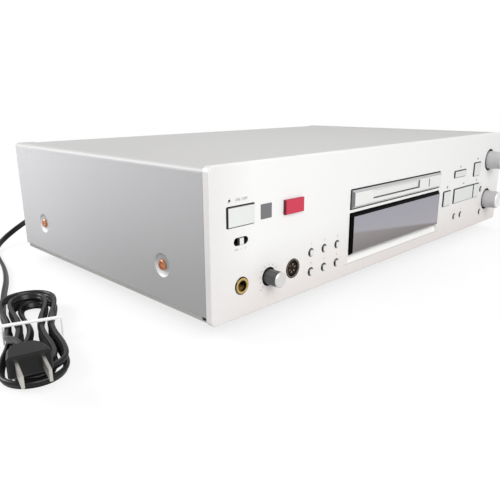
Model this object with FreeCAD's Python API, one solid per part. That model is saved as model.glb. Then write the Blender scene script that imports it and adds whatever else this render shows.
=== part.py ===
import FreeCAD, Part
import math
import os

# Minidisc deck, in millimetres. X runs across the deck, Y from front to rear, Z up.
# The origin is on the floor, under the centre of the deck without its mains cord.

# Cabinet
FACE_WIDTH = 430.0
FACE_HEIGHT = 96.5
FACE_WALL = 3.0
FACE_RIM_DEPTH = 5.0
FACE_RIM_WALL = 2.5
FACE_CORNER = 3.5
FACE_EDGE = 0.8
FACE_DROP = 1.0
BODY_DEPTH = 262.0
FOOT_HEIGHT = 12.0
FOOT_RADIUS = 20.0
FOOT_INSET_X = 48.0
FOOT_FRONT = 45.0
FOOT_REAR = 37.0
COVER_SHEET = 0.8
COVER_CORNER = 3.5
COVER_STEP = 0.5
COVER_RAISE = 5.0
COVER_SEAM = 0.3
COVER_BAND = 16.0
COVER_BAND_STEP = 0.6
COVER_LIP = 9.0
PAN_SHEET = 1.0
PAN_FLANGE = 36.0
REAR_SHEET = 1.0
SCREW_HEIGHT = 29.5
SCREW_FRONT = 48.0
SCREW_REAR = 42.0
DIMPLE_RADIUS = 8.0
DIMPLE_DEPTH = 0.8
SCREW_HEAD_RADIUS = 3.6
SCREW_HEAD_HEIGHT = 1.6
SCREW_SHANK_RADIUS = 1.9
SCREW_LENGTH = 7.0
KNOB_REACH = 15.0
JACK_REACH = 9.0

# Clearances
FIT = 0.2
KEY_GAP = 0.7
KEY_PLAY = 0.3
SHAFT_GAP = 0.05
BLOCK_GAP = 1.1

# Front board and keys
BOARD_DEPTH = 16.0
BOARD_SHEET = 1.6
BOARD_EDGE = 6.0
BOARD_BOTTOM = 4.0
BOARD_MIDDLE_TOP = 44.0
BOARD_TOP = 86.0
SWITCH_HEIGHT = 4.0
SWITCH_SIZE = 6.0
KEY_TRAVEL = 1.2
KEY_PROUD = 1.0
KEY_FLANGE = 1.5
KEY_STEM = 3.0
BOSS_RADIUS = 3.5

# Window, slot bezel and door
PROUD = 2.4
BEVEL = 1.8
WELL_LEFT = 138.8
WELL_WIDTH = 145.6
WINDOW_BOTTOM = 9.4
WINDOW_TOP = 49.3
GLASS_BOTTOM = 16.1
SILL_DEPTH = 4.5
SILL_RIB = 6.0
BEZEL_BOTTOM = 51.5
BEZEL_TOP = 67.4
BLOCK_BACK = 1.5
BLOCK_FLANGE = 3.0
SLOT_CENTRE = 203.8
SLOT_WIDTH = 74.0
SLOT_BOTTOM = 57.0
SLOT_HEIGHT = 7.0
DOOR_SHEET = 1.2
DOOR_GAP = 0.3
DOOR_LIFT = 0.9
PIN_RADIUS = 0.7
PIN_LENGTH = 1.8
EYE_SLIT_X = 258.5
EYE_SLIT_WIDTH = 1.4
EYE_SLIT_HEIGHT = 7.0

# Keys of the left group: centre from the left edge, centre from the bottom edge, width, height
POWER_KEY = (24.8, 65.4, 23.8, 13.3)
ROUND_KEY_RADIUS = 3.2
LEFT_KEY_COLUMNS = (93.3, 108.5, 124.0)
LEFT_KEY_ROWS = (28.2, 14.0)

# Keys of the right group: centre from the right edge, centre from the bottom edge, width, height
EJECT_KEY = (102.5, 60.6, 27.0, 7.4)
RECORD_KEY = (62.8, 61.4, 17.5, 14.7)
STOP_KEY = (128.3, 38.9, 16.3, 15.4)
PLAY_KEY = (91.4, 38.9, 45.0, 15.2)
PAUSE_KEY = (60.9, 38.9, 15.6, 15.2)
ROUND_KEYS = ((107.1, 18.1), (92.6, 17.9), (47.1, 38.5), (43.7, 13.4))

# Other front fittings: left group from the left edge, right group from the right edge
LAMP = (15.1, 75.6)
LAMP_RADIUS = 1.5
SENSOR = (47.0, 64.9, 10.0, 9.4)
BADGE = (72.5, 64.8, 18.5, 9.6)
TIMER = (24.8, 49.7)
TIMER_SLOT_LENGTH = 12.2
TIMER_SLOT_HEIGHT = 5.0
TIMER_LEVER = 3.8
TIMER_TRAVEL = 3.0
PHONES = (25.1, 20.9)
PHONES_RING = 5.8
PHONES_BORE = 3.2
PHONES_LENGTH = 14.0
LEVEL = (49.7, 21.0)
LEVEL_HOLE = 6.4
LEVEL_RADIUS = 5.2
LEVEL_REACH = 11.0
KEYBOARD = (73.6, 21.0)
KEYBOARD_RADIUS = 6.8
KEYBOARD_CORE = 4.8
KEYBOARD_RING = 0.9
JOG = (32.0, 68.5)
REC_LEVEL = (30.5, 26.0)
KNOB_HOLE = 11.5
KNOB_RADIUS = 9.5
KNOB_FRONT_RADIUS = 8.7
KNOB_DISH = 0.6
REC_LEVEL_REACH = 14.0
JOG_PUSH = 1.0
SHAFT_RADIUS = 3.0
POT_SIZE = 14.0
POT_FRONT = 8.0

# Loader and drive
CARTRIDGE_WIDTH = 72.0
CARTRIDGE_LENGTH = 68.0
CARTRIDGE_HEIGHT = 5.0
HOLDER_GAP = 0.8
HOLDER_SHEET = 0.8
HOLDER_FRONT = 9.0
HOLDER_LENGTH = 71.0
HOLDER_LEDGE = 6.0
HOLDER_DROP = 4.0
DECK_SHEET = 1.2
DECK_DROP = 8.8
DECK_FRONT = 8.5
DECK_LENGTH = 110.0
DECK_HALF = 47.0
DECK_SIDE = 22.0
LEG_SIZE = 8.0
CAM_SHEET = 1.2
CAM_TRAVEL = 12.0
CAM_HEIGHT = 16.0
CAM_GAP = 0.8
CAM_PIN = 1.2
SPINDLE_FROM_FRONT = 37.0
TABLE_RADIUS = 8.5
TABLE_HEIGHT = 2.0
MOTOR_RADIUS = 8.0
MOTOR_HEIGHT = 10.5
ROD_RADIUS = 1.5
ROD_SPACING = 40.0
ROD_DROP = 4.0
SLED_TRAVEL = 20.0
SLED_LENGTH = 14.0
SLED_HALF = 24.0
SLED_HEIGHT = 8.0
SCREW_OFFSET = 33.0
SCREW_RADIUS = 1.5
SCREW_JOURNAL = 1.0

# Electronics and rear fittings
MAIN_LEFT = -95.0
MAIN_RIGHT = 200.0
MAIN_FRONT = 128.0
MAIN_REAR = 250.0
STANDOFF = 6.0
TRANSFORMER_X = -168.0
TRANSFORMER_FROM_REAR = 58.0
CORD_EXIT_X = -160.0
CORD_EXIT_Z = 45.0
PHONO_X = (70.0, 90.0)
PHONO_Z = (32.0, 46.0)
PHONO_RADIUS = 4.15
PHONO_COLLAR = 5.0
PHONO_HOLE = 1.6
OPTICAL_X = (124.0, 142.0, 160.0)
OPTICAL_SIZE = 9.6
OPTICAL_Z = 30.0
OPTICAL_REACH = 2.5

# Mains cord
CORD = 5.2
CORD_FLOOR = 2.7
BUSHING_RADIUS = 5.5
BUSHING_REACH = 8.0
HANK_CENTRE = (-287.0, -42.0)
HANK_AXIS = 248.8
HANK_LENGTH = 92.0
HANK_INNER = 6.4
HANK_STEP = 2.95
HANK_WAIST = 1.6
HANK_WAIST_STEP = 3.0
HANK_LAYER = 5.8
HANK_RUNS = 9
TIE_WIDTH = 3.6
TIE_SHEET = 0.8
PLUG_ALONG = 50.0
PLUG_ACROSS = 5.5
PLUG_Z = 17.5
PLUG_TURN = 8.0
PLUG_LENGTH = 21.0
PLUG_WIDTH = 22.0
PLUG_HEIGHT = 12.0
BLADE_LENGTH = 16.0
BLADE_WIDTH = 6.35
BLADE_SHEET = 1.5
BLADE_SPACING = 12.7

# Places that follow from the sizes above
FRONT_Y = KNOB_REACH - (KNOB_REACH + BODY_DEPTH + JACK_REACH) / 2
REAR_Y = FRONT_Y + BODY_DEPTH
FACE_Z = FOOT_HEIGHT - FACE_DROP
COVER_TOP = FACE_Z + FACE_HEIGHT - COVER_STEP
COVER_BOTTOM = FACE_Z + COVER_RAISE
INNER_HALF = FACE_WIDTH / 2 - COVER_SHEET
PAN_HALF = INNER_HALF - DIMPLE_DEPTH - FIT
PAN_TOP = FOOT_HEIGHT + PAN_SHEET
PAN_FRONT_Y = FRONT_Y + FACE_RIM_DEPTH + 1.0
REAR_PANEL_Y = REAR_Y - COVER_SHEET - REAR_SHEET
SLOT_X = SLOT_CENTRE - FACE_WIDTH / 2
SLOT_Z = FACE_Z + SLOT_BOTTOM
HOLDER_HALF = CARTRIDGE_WIDTH / 2 + HOLDER_GAP
DECK_Z = SLOT_Z - DECK_DROP
BACK = FACE_WALL + KEY_PLAY


def left(x):
    """X of a place measured from the faceplate's left edge."""
    return x - FACE_WIDTH / 2


def right(x):
    """X of a place measured from the faceplate's right edge."""
    return FACE_WIDTH / 2 - x


def high(z):
    """Z of a place measured from the faceplate's bottom edge."""
    return FACE_Z + z


def deep(d):
    """Y of a place measured inwards from the faceplate's front."""
    return FRONT_Y + d


def block(x0, x1, y0, y1, z0, z1):
    """Box between two corners."""
    return Part.makeBox(x1 - x0, y1 - y0, z1 - z0, FreeCAD.Vector(x0, y0, z0))


def slab(x, z, width, height, y0, y1):
    """Box centred at x and z, from y0 to y1."""
    return block(x - width / 2, x + width / 2, y0, y1, z - height / 2, z + height / 2)


def rod(axis, place, radius, length):
    """Cylinder from a place along an axis letter."""
    ways = {"x": (1, 0, 0), "y": (0, 1, 0), "z": (0, 0, 1)}
    return Part.makeCylinder(radius, length, FreeCAD.Vector(*place), FreeCAD.Vector(*ways[axis]))


def bar(x, z, radius, y0, y1):
    """Cylinder along Y."""
    return rod("y", (x, y0, z), radius, y1 - y0)


def turned(x, z, outline):
    """Solid of revolution about an axis along Y; the outline is a list of (radius, y)."""
    points = [FreeCAD.Vector(x + radius, y, z) for radius, y in outline]
    face = Part.Face(Part.makePolygon(points + points[:1]))
    return face.revolve(FreeCAD.Vector(x, 0, z), FreeCAD.Vector(0, 1, 0), 360)


def stadium(x, z, width, height, y0, y1):
    """Slot with round ends along X."""
    reach = (width - height) / 2
    ends = [bar(x + side * reach, z, height / 2, y0, y1) for side in (-1, 1)]
    return slab(x, z, 2 * reach, height, y0, y1).multiFuse(ends)


def rounded(shape, radius, chosen):
    """Fillet the edges of a shape that a test picks out."""
    return shape.makeFillet(radius, [edge for edge in shape.Edges if chosen(edge)])


def runs_along(edge, axis):
    """True for a straight edge that runs along X (0), Y (1) or Z (2)."""
    if not isinstance(edge.Curve, Part.Line):
        return False
    return abs(abs(edge.Curve.Direction[axis]) - 1) < 1e-6


def soft_slab(x, z, width, height, y0, y1, corner):
    """Box along Y with its four long corners rounded."""
    return rounded(slab(x, z, width, height, y0, y1), corner, lambda edge: runs_along(edge, 1))


def export(shape, node):
    """Write one node; a list of solids becomes one group."""
    if isinstance(shape, list):
        shape = Part.makeCompound(shape)
    elif shape.ShapeType == "Compound" and len(shape.Solids) == 1:
        shape = shape.Solids[0]
    if not shape.isValid():
        print("not valid:", node)
    shape.exportStep("parts/" + node + ".step")
    return shape


def rectangular_keys():
    """Name, X, Z, width and height of each rectangular key."""
    keys = {"power_button": (left(POWER_KEY[0]),) + POWER_KEY[1:]}
    for name, key in (("eject_button", EJECT_KEY), ("record_button", RECORD_KEY), ("stop_button", STOP_KEY),
                      ("play_button", PLAY_KEY), ("pause_button", PAUSE_KEY)):
        keys[name] = (right(key[0]),) + key[1:]
    return {name: (x, high(z), width, height) for name, (x, z, width, height) in keys.items()}


def round_keys():
    """Name, X and Z of each round key."""
    keys = {}
    for z in LEFT_KEY_ROWS:
        for x in LEFT_KEY_COLUMNS:
            keys["left_button_%d" % (len(keys) + 1)] = (left(x), high(z))
    for number, (x, z) in enumerate(ROUND_KEYS):
        keys["round_button_%d" % (number + 1)] = (right(x), high(z))
    return keys


def well_openings():
    """X centre, Z centre, width and height of the window opening and the bezel opening."""
    x = left(WELL_LEFT + WELL_WIDTH / 2)
    openings = []
    for low, top in ((WINDOW_BOTTOM, WINDOW_TOP), (BEZEL_BOTTOM, BEZEL_TOP)):
        openings.append((x, high((low + top) / 2), WELL_WIDTH, top - low))
    return openings


def boss_places():
    """Places of the moulded posts that carry the front board."""
    return [(left(57.0), high(44.0)), (left(115.0), high(60.0)), (right(78.0), high(22.0)),
            (right(85.0), high(76.0))]


def front_panel():
    """Moulded faceplate: front wall, rim, tongue for the cover, board posts and every opening."""
    middle = high(FACE_HEIGHT / 2)
    plate = soft_slab(0, middle, FACE_WIDTH, FACE_HEIGHT, FRONT_Y, deep(FACE_RIM_DEPTH), FACE_CORNER)
    plate = rounded(plate, FACE_EDGE, lambda edge: edge.BoundBox.YMax < FRONT_Y + 0.01)
    pocket = slab(0, middle, FACE_WIDTH - 2 * FACE_RIM_WALL, FACE_HEIGHT - 2 * FACE_RIM_WALL,
                  deep(FACE_WALL), deep(FACE_RIM_DEPTH) + 1)
    plate = plate.cut(pocket)
    inset = COVER_SHEET + FIT
    tongue_depth = deep(FACE_RIM_DEPTH + 4.0)
    sink = inset + COVER_STEP + COVER_BAND_STEP
    outer = slab(0, middle, FACE_WIDTH - 2 * inset, FACE_HEIGHT - 2 * sink, deep(FACE_WALL), tongue_depth)
    inner = slab(0, middle, FACE_WIDTH - 2 * (inset + 2.0), FACE_HEIGHT - 2 * (inset + 3.0),
                 deep(FACE_WALL), tongue_depth + 1)
    below = block(-FACE_WIDTH, FACE_WIDTH, deep(FACE_RIM_DEPTH), deep(20), 0, COVER_BOTTOM + 1)
    tongue = rounded(outer, COVER_CORNER, lambda edge: runs_along(edge, 1)).cut(inner).cut(below)
    foot = block(-PAN_HALF + 20, PAN_HALF - 20, deep(FACE_WALL), deep(14), PAN_TOP, PAN_TOP + 2)
    parts = [tongue, foot]
    parts += [bar(x, z, BOSS_RADIUS, deep(FACE_WALL) - 1, deep(BOARD_DEPTH)) for x, z in boss_places()]
    window, bezel = well_openings()
    sill_low = high(WINDOW_BOTTOM)
    parts.append(block(window[0] - WELL_WIDTH / 2 - 2, window[0] + WELL_WIDTH / 2 + 2,
                       deep(FACE_WALL) - 1, deep(SILL_RIB), sill_low - 3, high(GLASS_BOTTOM)))
    plate = plate.multiFuse(parts)
    cuts = [soft_slab(x, z, width, height, FRONT_Y - 1, deep(FACE_WALL) + 0.01, 1.0)
            for x, z, width, height in (bezel,)]
    glass_middle = high((GLASS_BOTTOM + WINDOW_TOP) / 2)
    cuts.append(slab(window[0], glass_middle, WELL_WIDTH, WINDOW_TOP - GLASS_BOTTOM, FRONT_Y - 1, deep(SILL_RIB) + 1))
    points = [(FRONT_Y, sill_low), (deep(SILL_DEPTH), high(GLASS_BOTTOM)), (deep(SILL_DEPTH), high(GLASS_BOTTOM) + 1),
              (FRONT_Y - 1, high(GLASS_BOTTOM) + 1), (FRONT_Y - 1, sill_low)]
    outline = [FreeCAD.Vector(window[0] - WELL_WIDTH / 2, y, z) for y, z in points]
    scoop = Part.Face(Part.makePolygon(outline + outline[:1])).extrude(FreeCAD.Vector(WELL_WIDTH, 0, 0))
    cuts.append(scoop)
    for name, (x, z, width, height) in rectangular_keys().items():
        if name not in ("play_button", "pause_button"):
            cuts.append(soft_slab(x, z, width, height, FRONT_Y - 1, deep(FACE_WALL) + 0.01, 1.0))
    play, pause = rectangular_keys()["play_button"], rectangular_keys()["pause_button"]
    low_x = play[0] - play[2] / 2
    high_x = pause[0] + pause[2] / 2
    cuts.append(soft_slab((low_x + high_x) / 2, play[1], high_x - low_x, play[3], FRONT_Y - 1,
                          deep(FACE_WALL) + 0.01, 1.0))
    holes = [(x, z, ROUND_KEY_RADIUS) for x, z in round_keys().values()]
    holes.append((left(LAMP[0]), high(LAMP[1]), LAMP_RADIUS + FIT / 2))
    holes.append((left(PHONES[0]), high(PHONES[1]), PHONES_RING + FIT / 2))
    holes.append((left(LEVEL[0]), high(LEVEL[1]), LEVEL_HOLE))
    holes.append((left(KEYBOARD[0]), high(KEYBOARD[1]), KEYBOARD_RADIUS + FIT / 2))
    holes.append((right(JOG[0]), high(JOG[1]), KNOB_HOLE))
    holes.append((right(REC_LEVEL[0]), high(REC_LEVEL[1]), KNOB_HOLE))
    cuts += [bar(x, z, radius, FRONT_Y - 1, deep(FACE_WALL) + 0.01) for x, z, radius in holes]
    cuts.append(stadium(left(TIMER[0]), high(TIMER[1]), TIMER_SLOT_LENGTH, TIMER_SLOT_HEIGHT,
                        FRONT_Y - 1, deep(FACE_WALL) + 0.01))
    x, z, width, height = SENSOR
    cuts.append(slab(left(x), high(z), width + FIT, height + FIT, FRONT_Y - 1, deep(FACE_WALL) + 0.01))
    return plate.cut(Part.makeCompound(cuts))


def window_and_bezel():
    """Smoked display window and the slot bezel, two bevelled blocks that stand proud of the faceplate."""
    blocks = []
    window, bezel = well_openings()
    glass = (window[0], high((GLASS_BOTTOM + FIT + WINDOW_TOP - BLOCK_GAP) / 2), WELL_WIDTH - 2 * BLOCK_GAP,
             WINDOW_TOP - BLOCK_GAP - GLASS_BOTTOM - FIT)
    frame = (bezel[0], bezel[1], WELL_WIDTH - 2 * BLOCK_GAP, bezel[3] - 2 * BLOCK_GAP)
    for x, z, width, height in (glass, frame):
        body = slab(x, z, width, height, FRONT_Y - PROUD, deep(FACE_WALL))
        front = [edge for edge in body.Edges if edge.BoundBox.YMax < FRONT_Y - PROUD + 0.01]
        body = body.makeChamfer(BEVEL, front)
        flange = slab(x, z, width + 2 * (BLOCK_GAP + BLOCK_FLANGE), height - 2, deep(FACE_WALL),
                      deep(FACE_WALL + BLOCK_BACK))
        blocks.append(body.fuse(flange).removeSplitter())
    glass_block, frame_block = blocks
    tunnel = block(SLOT_X - SLOT_WIDTH / 2, SLOT_X + SLOT_WIDTH / 2, FRONT_Y - PROUD - 1,
                   deep(FACE_WALL + BLOCK_BACK) + 1, SLOT_Z, SLOT_Z + SLOT_HEIGHT)
    pin_y, pin_z = door_axis()
    reach = SLOT_WIDTH / 2 + PIN_LENGTH + FIT
    bores = rod("x", (SLOT_X - reach, pin_y, pin_z), PIN_RADIUS + SHAFT_GAP, 2 * reach)
    slit = slab(left(EYE_SLIT_X), SLOT_Z + EYE_SLIT_HEIGHT / 2 - 1, EYE_SLIT_WIDTH, EYE_SLIT_HEIGHT,
                FRONT_Y - PROUD - 1, FRONT_Y - PROUD + 1.5)
    return glass_block, frame_block.cut(tunnel).cut(bores).cut(slit)


def door_axis():
    """Y and Z of the door's hinge."""
    return FRONT_Y - DOOR_SHEET / 2, SLOT_Z + SLOT_HEIGHT - PIN_RADIUS - 2 * SHAFT_GAP


def slot_door():
    """Flap over the cartridge slot, hung on two pins at its upper edge."""
    pin_y, pin_z = door_axis()
    half = SLOT_WIDTH / 2 - DOOR_GAP
    flap = block(SLOT_X - half, SLOT_X + half, pin_y - DOOR_SHEET / 2, pin_y + DOOR_SHEET / 2,
                 SLOT_Z + DOOR_LIFT, pin_z)
    barrel = rod("x", (SLOT_X - half, pin_y, pin_z), PIN_RADIUS, 2 * half)
    reach = SLOT_WIDTH / 2 + PIN_LENGTH
    pins = rod("x", (SLOT_X - reach, pin_y, pin_z), PIN_RADIUS, 2 * reach)
    return flap.multiFuse([barrel, pins]).removeSplitter()


def switch_front():
    """Y of the front of the key switches on the front board."""
    return deep(BOARD_DEPTH - SWITCH_HEIGHT)


def rectangular_key(x, z, width, height):
    """Key cap with ledges above and below behind the wall and a stem to its switch."""
    cap = soft_slab(x, z, width - 2 * KEY_GAP, height - 2 * KEY_GAP, FRONT_Y - KEY_PROUD, deep(BACK), 0.8)
    front = [edge for edge in cap.Edges if edge.BoundBox.YMax < FRONT_Y - KEY_PROUD + 0.01]
    cap = cap.makeChamfer(0.3, front)
    ledge = slab(x, z, width - 2 * KEY_GAP, height + 2 * KEY_FLANGE, deep(BACK), deep(BACK) + KEY_FLANGE)
    stem_end = switch_front() - KEY_TRAVEL - KEY_PLAY
    stem = slab(x, z, KEY_STEM, KEY_STEM, deep(BACK), stem_end)
    return cap.multiFuse([ledge, stem])


def round_key(x, z):
    """Small round key with a collar behind the wall and a stem to its switch."""
    stem_end = switch_front() - KEY_TRAVEL - KEY_PLAY
    radius = ROUND_KEY_RADIUS - KEY_GAP
    collar = ROUND_KEY_RADIUS + KEY_FLANGE
    nose = 0.5
    return turned(x, z, [(0, FRONT_Y - KEY_PROUD), (radius - nose, FRONT_Y - KEY_PROUD),
                         (radius, FRONT_Y - KEY_PROUD + nose), (radius, deep(BACK)), (collar, deep(BACK)),
                         (collar, deep(BACK) + KEY_FLANGE), (KEY_STEM / 2, deep(BACK) + KEY_FLANGE),
                         (KEY_STEM / 2, stem_end), (0, stem_end)])


def small_front_fittings():
    """Sensor window, plain badge plate and standby lamp."""
    x, z, width, height = SENSOR
    sensor = slab(left(x), high(z), width, height, FRONT_Y - 0.1, deep(FACE_WALL))
    sensor = sensor.fuse(slab(left(x), high(z), width + 3, height + 3, deep(FACE_WALL), deep(FACE_WALL) + 1))
    x, z, width, height = BADGE
    badge = slab(left(x), high(z), width, height, FRONT_Y - PROUD, FRONT_Y)
    badge = rounded(badge, 0.6, lambda edge: edge.BoundBox.YMax < FRONT_Y - PROUD + 0.01)
    x, z = left(LAMP[0]), high(LAMP[1])
    dome = 0.5
    lamp = turned(x, z, [(0, FRONT_Y - dome), (LAMP_RADIUS - dome, FRONT_Y - dome), (LAMP_RADIUS, FRONT_Y),
                         (LAMP_RADIUS, deep(BOARD_DEPTH)), (0, deep(BOARD_DEPTH))])
    return sensor, badge, lamp


def headphone_jack():
    """Jack with its ring in the faceplate and its body on the front board."""
    x, z = left(PHONES[0]), high(PHONES[1])
    ring = turned(x, z, [(0, FRONT_Y - 0.6), (PHONES_RING - 0.6, FRONT_Y - 0.6), (PHONES_RING, FRONT_Y),
                         (PHONES_RING, deep(FACE_WALL)), (0, deep(FACE_WALL))])
    body = slab(x, z, 2 * PHONES_RING + 1, 2 * PHONES_RING + 1, deep(FACE_WALL), deep(BOARD_DEPTH))
    return ring.fuse(body).cut(bar(x, z, PHONES_BORE, FRONT_Y - 1, FRONT_Y - 0.6 + PHONES_LENGTH))


def keyboard_socket():
    """Round multi-pin socket: shell ring, core and pin holes."""
    x, z = left(KEYBOARD[0]), high(KEYBOARD[1])
    barrel = bar(x, z, KEYBOARD_RADIUS, FRONT_Y - 0.3, deep(FACE_WALL))
    body = slab(x, z, 2 * KEYBOARD_RADIUS + 1, 2 * KEYBOARD_RADIUS + 1, deep(FACE_WALL), deep(BOARD_DEPTH))
    groove = bar(x, z, KEYBOARD_RADIUS - KEYBOARD_RING, FRONT_Y - 1, deep(8))
    core = bar(x, z, KEYBOARD_CORE, FRONT_Y + 0.5, deep(8))
    pins = [bar(x + 2.6 * math.sin(math.radians(a)), z + 2.6 * math.cos(math.radians(a)), 0.5, FRONT_Y, deep(5))
            for a in (45, 100, 150, 210, 260, 315)]
    return barrel.fuse(body).cut(groove.cut(core)).cut(Part.makeCompound(pins))


def display_board():
    """Front board: one U of circuit board with the key switches on its front."""
    y0, y1 = deep(BOARD_DEPTH), deep(BOARD_DEPTH + BOARD_SHEET)
    inner_left = left(WELL_LEFT) - BLOCK_FLANGE - 5
    inner_right = left(WELL_LEFT + WELL_WIDTH) + BLOCK_FLANGE + 5
    board = block(left(BOARD_EDGE), right(BOARD_EDGE), y0, y1, high(BOARD_BOTTOM), high(BOARD_MIDDLE_TOP))
    towers = [block(left(BOARD_EDGE), inner_left, y0, y1, high(BOARD_BOTTOM), high(BOARD_TOP)),
              block(inner_right, right(BOARD_EDGE), y0, y1, high(BOARD_BOTTOM), high(BOARD_TOP))]
    places = [(x, z) for x, z, width, height in rectangular_keys().values()] + list(round_keys().values())
    switches = [slab(x, z, SWITCH_SIZE, SWITCH_SIZE, switch_front(), y0) for x, z in places]
    chips = [block(-40, -18, y1, y1 + 2, high(14), high(34)), block(20, 34, y1, y1 + 2, high(16), high(30))]
    return board.multiFuse(towers + switches + chips).removeSplitter()


def display_tube():
    """Flat glass display tube with its pumping tip, standing on the front board."""
    x = left(WELL_LEFT + WELL_WIDTH / 2)
    tube = slab(x, high(32), 130, 22, deep(9.5), deep(BOARD_DEPTH))
    tube = rounded(tube, 1.0, lambda edge: edge.BoundBox.YMax < deep(9.51))
    return tube.fuse(rod("x", (x + 65, deep(13), high(34)), 1.6, 4))


def timer_parts():
    """Slide switch on the board and its lever through the faceplate."""
    x, z = left(TIMER[0]), high(TIMER[1])
    switch = slab(x, z, 20, 8, deep(10), deep(BOARD_DEPTH))
    lever = slab(x, z, TIMER_LEVER, TIMER_SLOT_HEIGHT - 1.0, FRONT_Y - 0.8, deep(8.6))
    lever = rounded(lever, 0.5, lambda edge: runs_along(edge, 2) and edge.BoundBox.YMax < FRONT_Y)
    carriage = slab(x, z, 10, TIMER_SLOT_HEIGHT - 0.6, deep(8.6), deep(10) - FIT)
    return switch, lever.fuse(carriage)


def control_body(x, z):
    """Rotary control on the front board with a bore for its shaft."""
    body = slab(x, z, POT_SIZE, POT_SIZE, deep(POT_FRONT), deep(BOARD_DEPTH))
    collar = bar(x, z, SHAFT_RADIUS + 1.5, deep(POT_FRONT) - 2, deep(POT_FRONT))
    return body.fuse(collar).cut(bar(x, z, SHAFT_RADIUS + SHAFT_GAP, FRONT_Y, deep(BOARD_DEPTH - 0.5)))


def ribbed(solid, x, z, radius, y0, y1, count):
    """Cut fine flutes along a knob's side."""
    flutes = [bar(x + (radius + 0.25) * math.cos(2 * math.pi * k / count),
                  z + (radius + 0.25) * math.sin(2 * math.pi * k / count), 0.5, y0, y1) for k in range(count)]
    return solid.cut(Part.makeCompound(flutes))


def big_knob(x, z, reach, shaft_end):
    """Tapered knob with a dished front; with a shaft, or bored for one where shaft_end is None."""
    front = FRONT_Y - reach
    base = deep(FACE_WALL - 1)
    outline = [(0, front + KNOB_DISH), (KNOB_FRONT_RADIUS - 2.0, front + KNOB_DISH),
               (KNOB_FRONT_RADIUS - 1.2, front), (KNOB_FRONT_RADIUS - 0.4, front),
               (KNOB_FRONT_RADIUS, front + 0.5), (KNOB_RADIUS, deep(0)), (KNOB_RADIUS, base)]
    if shaft_end is None:
        knob = turned(x, z, outline + [(0, base)])
        return knob.cut(bar(x, z, SHAFT_RADIUS + SHAFT_GAP, FRONT_Y - 6, base + 1))
    return turned(x, z, outline + [(SHAFT_RADIUS, base), (SHAFT_RADIUS, shaft_end), (0, shaft_end)])


def level_knob():
    """Slim headphone level knob with its shaft."""
    x, z = left(LEVEL[0]), high(LEVEL[1])
    front = FRONT_Y - LEVEL_REACH
    base = deep(FACE_WALL - 1)
    shaft_end = deep(BOARD_DEPTH - 1)
    knob = turned(x, z, [(0, front), (LEVEL_RADIUS - 0.6, front), (LEVEL_RADIUS, front + 0.6),
                         (LEVEL_RADIUS, base), (SHAFT_RADIUS, base), (SHAFT_RADIUS, shaft_end), (0, shaft_end)])
    return ribbed(knob, x, z, LEVEL_RADIUS, front + 1.5, deep(0), 9)


def top_cover():
    """Folded steel cover: top with a sunk middle field, two sides, rear lips, screw dimples."""
    half = FACE_WIDTH / 2
    y0, y1 = deep(FACE_RIM_DEPTH + COVER_SEAM), REAR_Y

    def tunnel(side, top, corner, start, end):
        body = block(-side, side, start, end, 0, top)
        return rounded(body, corner, lambda edge: runs_along(edge, 1) and edge.BoundBox.ZMax > top - 0.01)

    outer = tunnel(half, COVER_TOP, COVER_CORNER, y0, y1)
    band = half - COVER_BAND
    sunk = COVER_TOP - COVER_BAND_STEP
    outer = outer.cut(block(-band, band, y0 - 1, y1 + 1, sunk, COVER_TOP + 1))
    inner_end = y1 - COVER_SHEET
    inner = tunnel(INNER_HALF, COVER_TOP - COVER_SHEET, COVER_CORNER - COVER_SHEET, y0 - 1, inner_end)
    field = band + COVER_SHEET
    inner = inner.cut(block(-field, field, y0 - 2, y1, sunk - COVER_SHEET, COVER_TOP))
    shell = outer.cut(inner).cut(block(-half - 1, half + 1, y0 - 1, y1 + 1, -1, COVER_BOTTOM))
    window = block(-INNER_HALF + COVER_LIP, INNER_HALF - COVER_LIP, inner_end - 1, y1 + 1, 0, COVER_TOP - COVER_LIP)
    shell = shell.cut(window)
    pads, cuts = [], []
    z = high(SCREW_HEIGHT)
    for side in (-1, 1):
        for y in cover_screw_places():
            start = half if side > 0 else -half
            depth = -side * (COVER_SHEET + DIMPLE_DEPTH)
            way = FreeCAD.Vector(-side, 0, 0)
            pads.append(Part.makeCylinder(DIMPLE_RADIUS + 0.6, abs(depth), FreeCAD.Vector(start, y, z), way))
            cuts.append(Part.makeCone(DIMPLE_RADIUS, DIMPLE_RADIUS - 1.2, DIMPLE_DEPTH,
                                      FreeCAD.Vector(start, y, z), way))
            cuts.append(Part.makeCylinder(SCREW_SHANK_RADIUS + FIT, 4, FreeCAD.Vector(start, y, z), way))
    shell = shell.multiFuse(pads).cut(Part.makeCompound(cuts))
    holes = [bar(x, rear_lip_height(), SCREW_SHANK_RADIUS + FIT, inner_end - 1, y1 + 1) for x in lip_screws()]
    return shell.cut(Part.makeCompound(holes))


def cover_screw_places():
    """Y of the side screws."""
    return deep(SCREW_FRONT), REAR_Y - SCREW_REAR


def rear_lip_height():
    """Z of the screws in the cover's rear lip."""
    return COVER_TOP - COVER_LIP / 2 - COVER_SHEET


def lip_screws():
    """X of the screws in the cover's rear lip."""
    return (-FACE_WIDTH / 2 + 25, 0.0, FACE_WIDTH / 2 - 25)


def panel_screws():
    """X and Z of the screws that hold the rear panel to the pan."""
    return [(x, PAN_TOP + 4) for x in (-FACE_WIDTH / 2 + 30, -60.0, 60.0, FACE_WIDTH / 2 - 30)]


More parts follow.
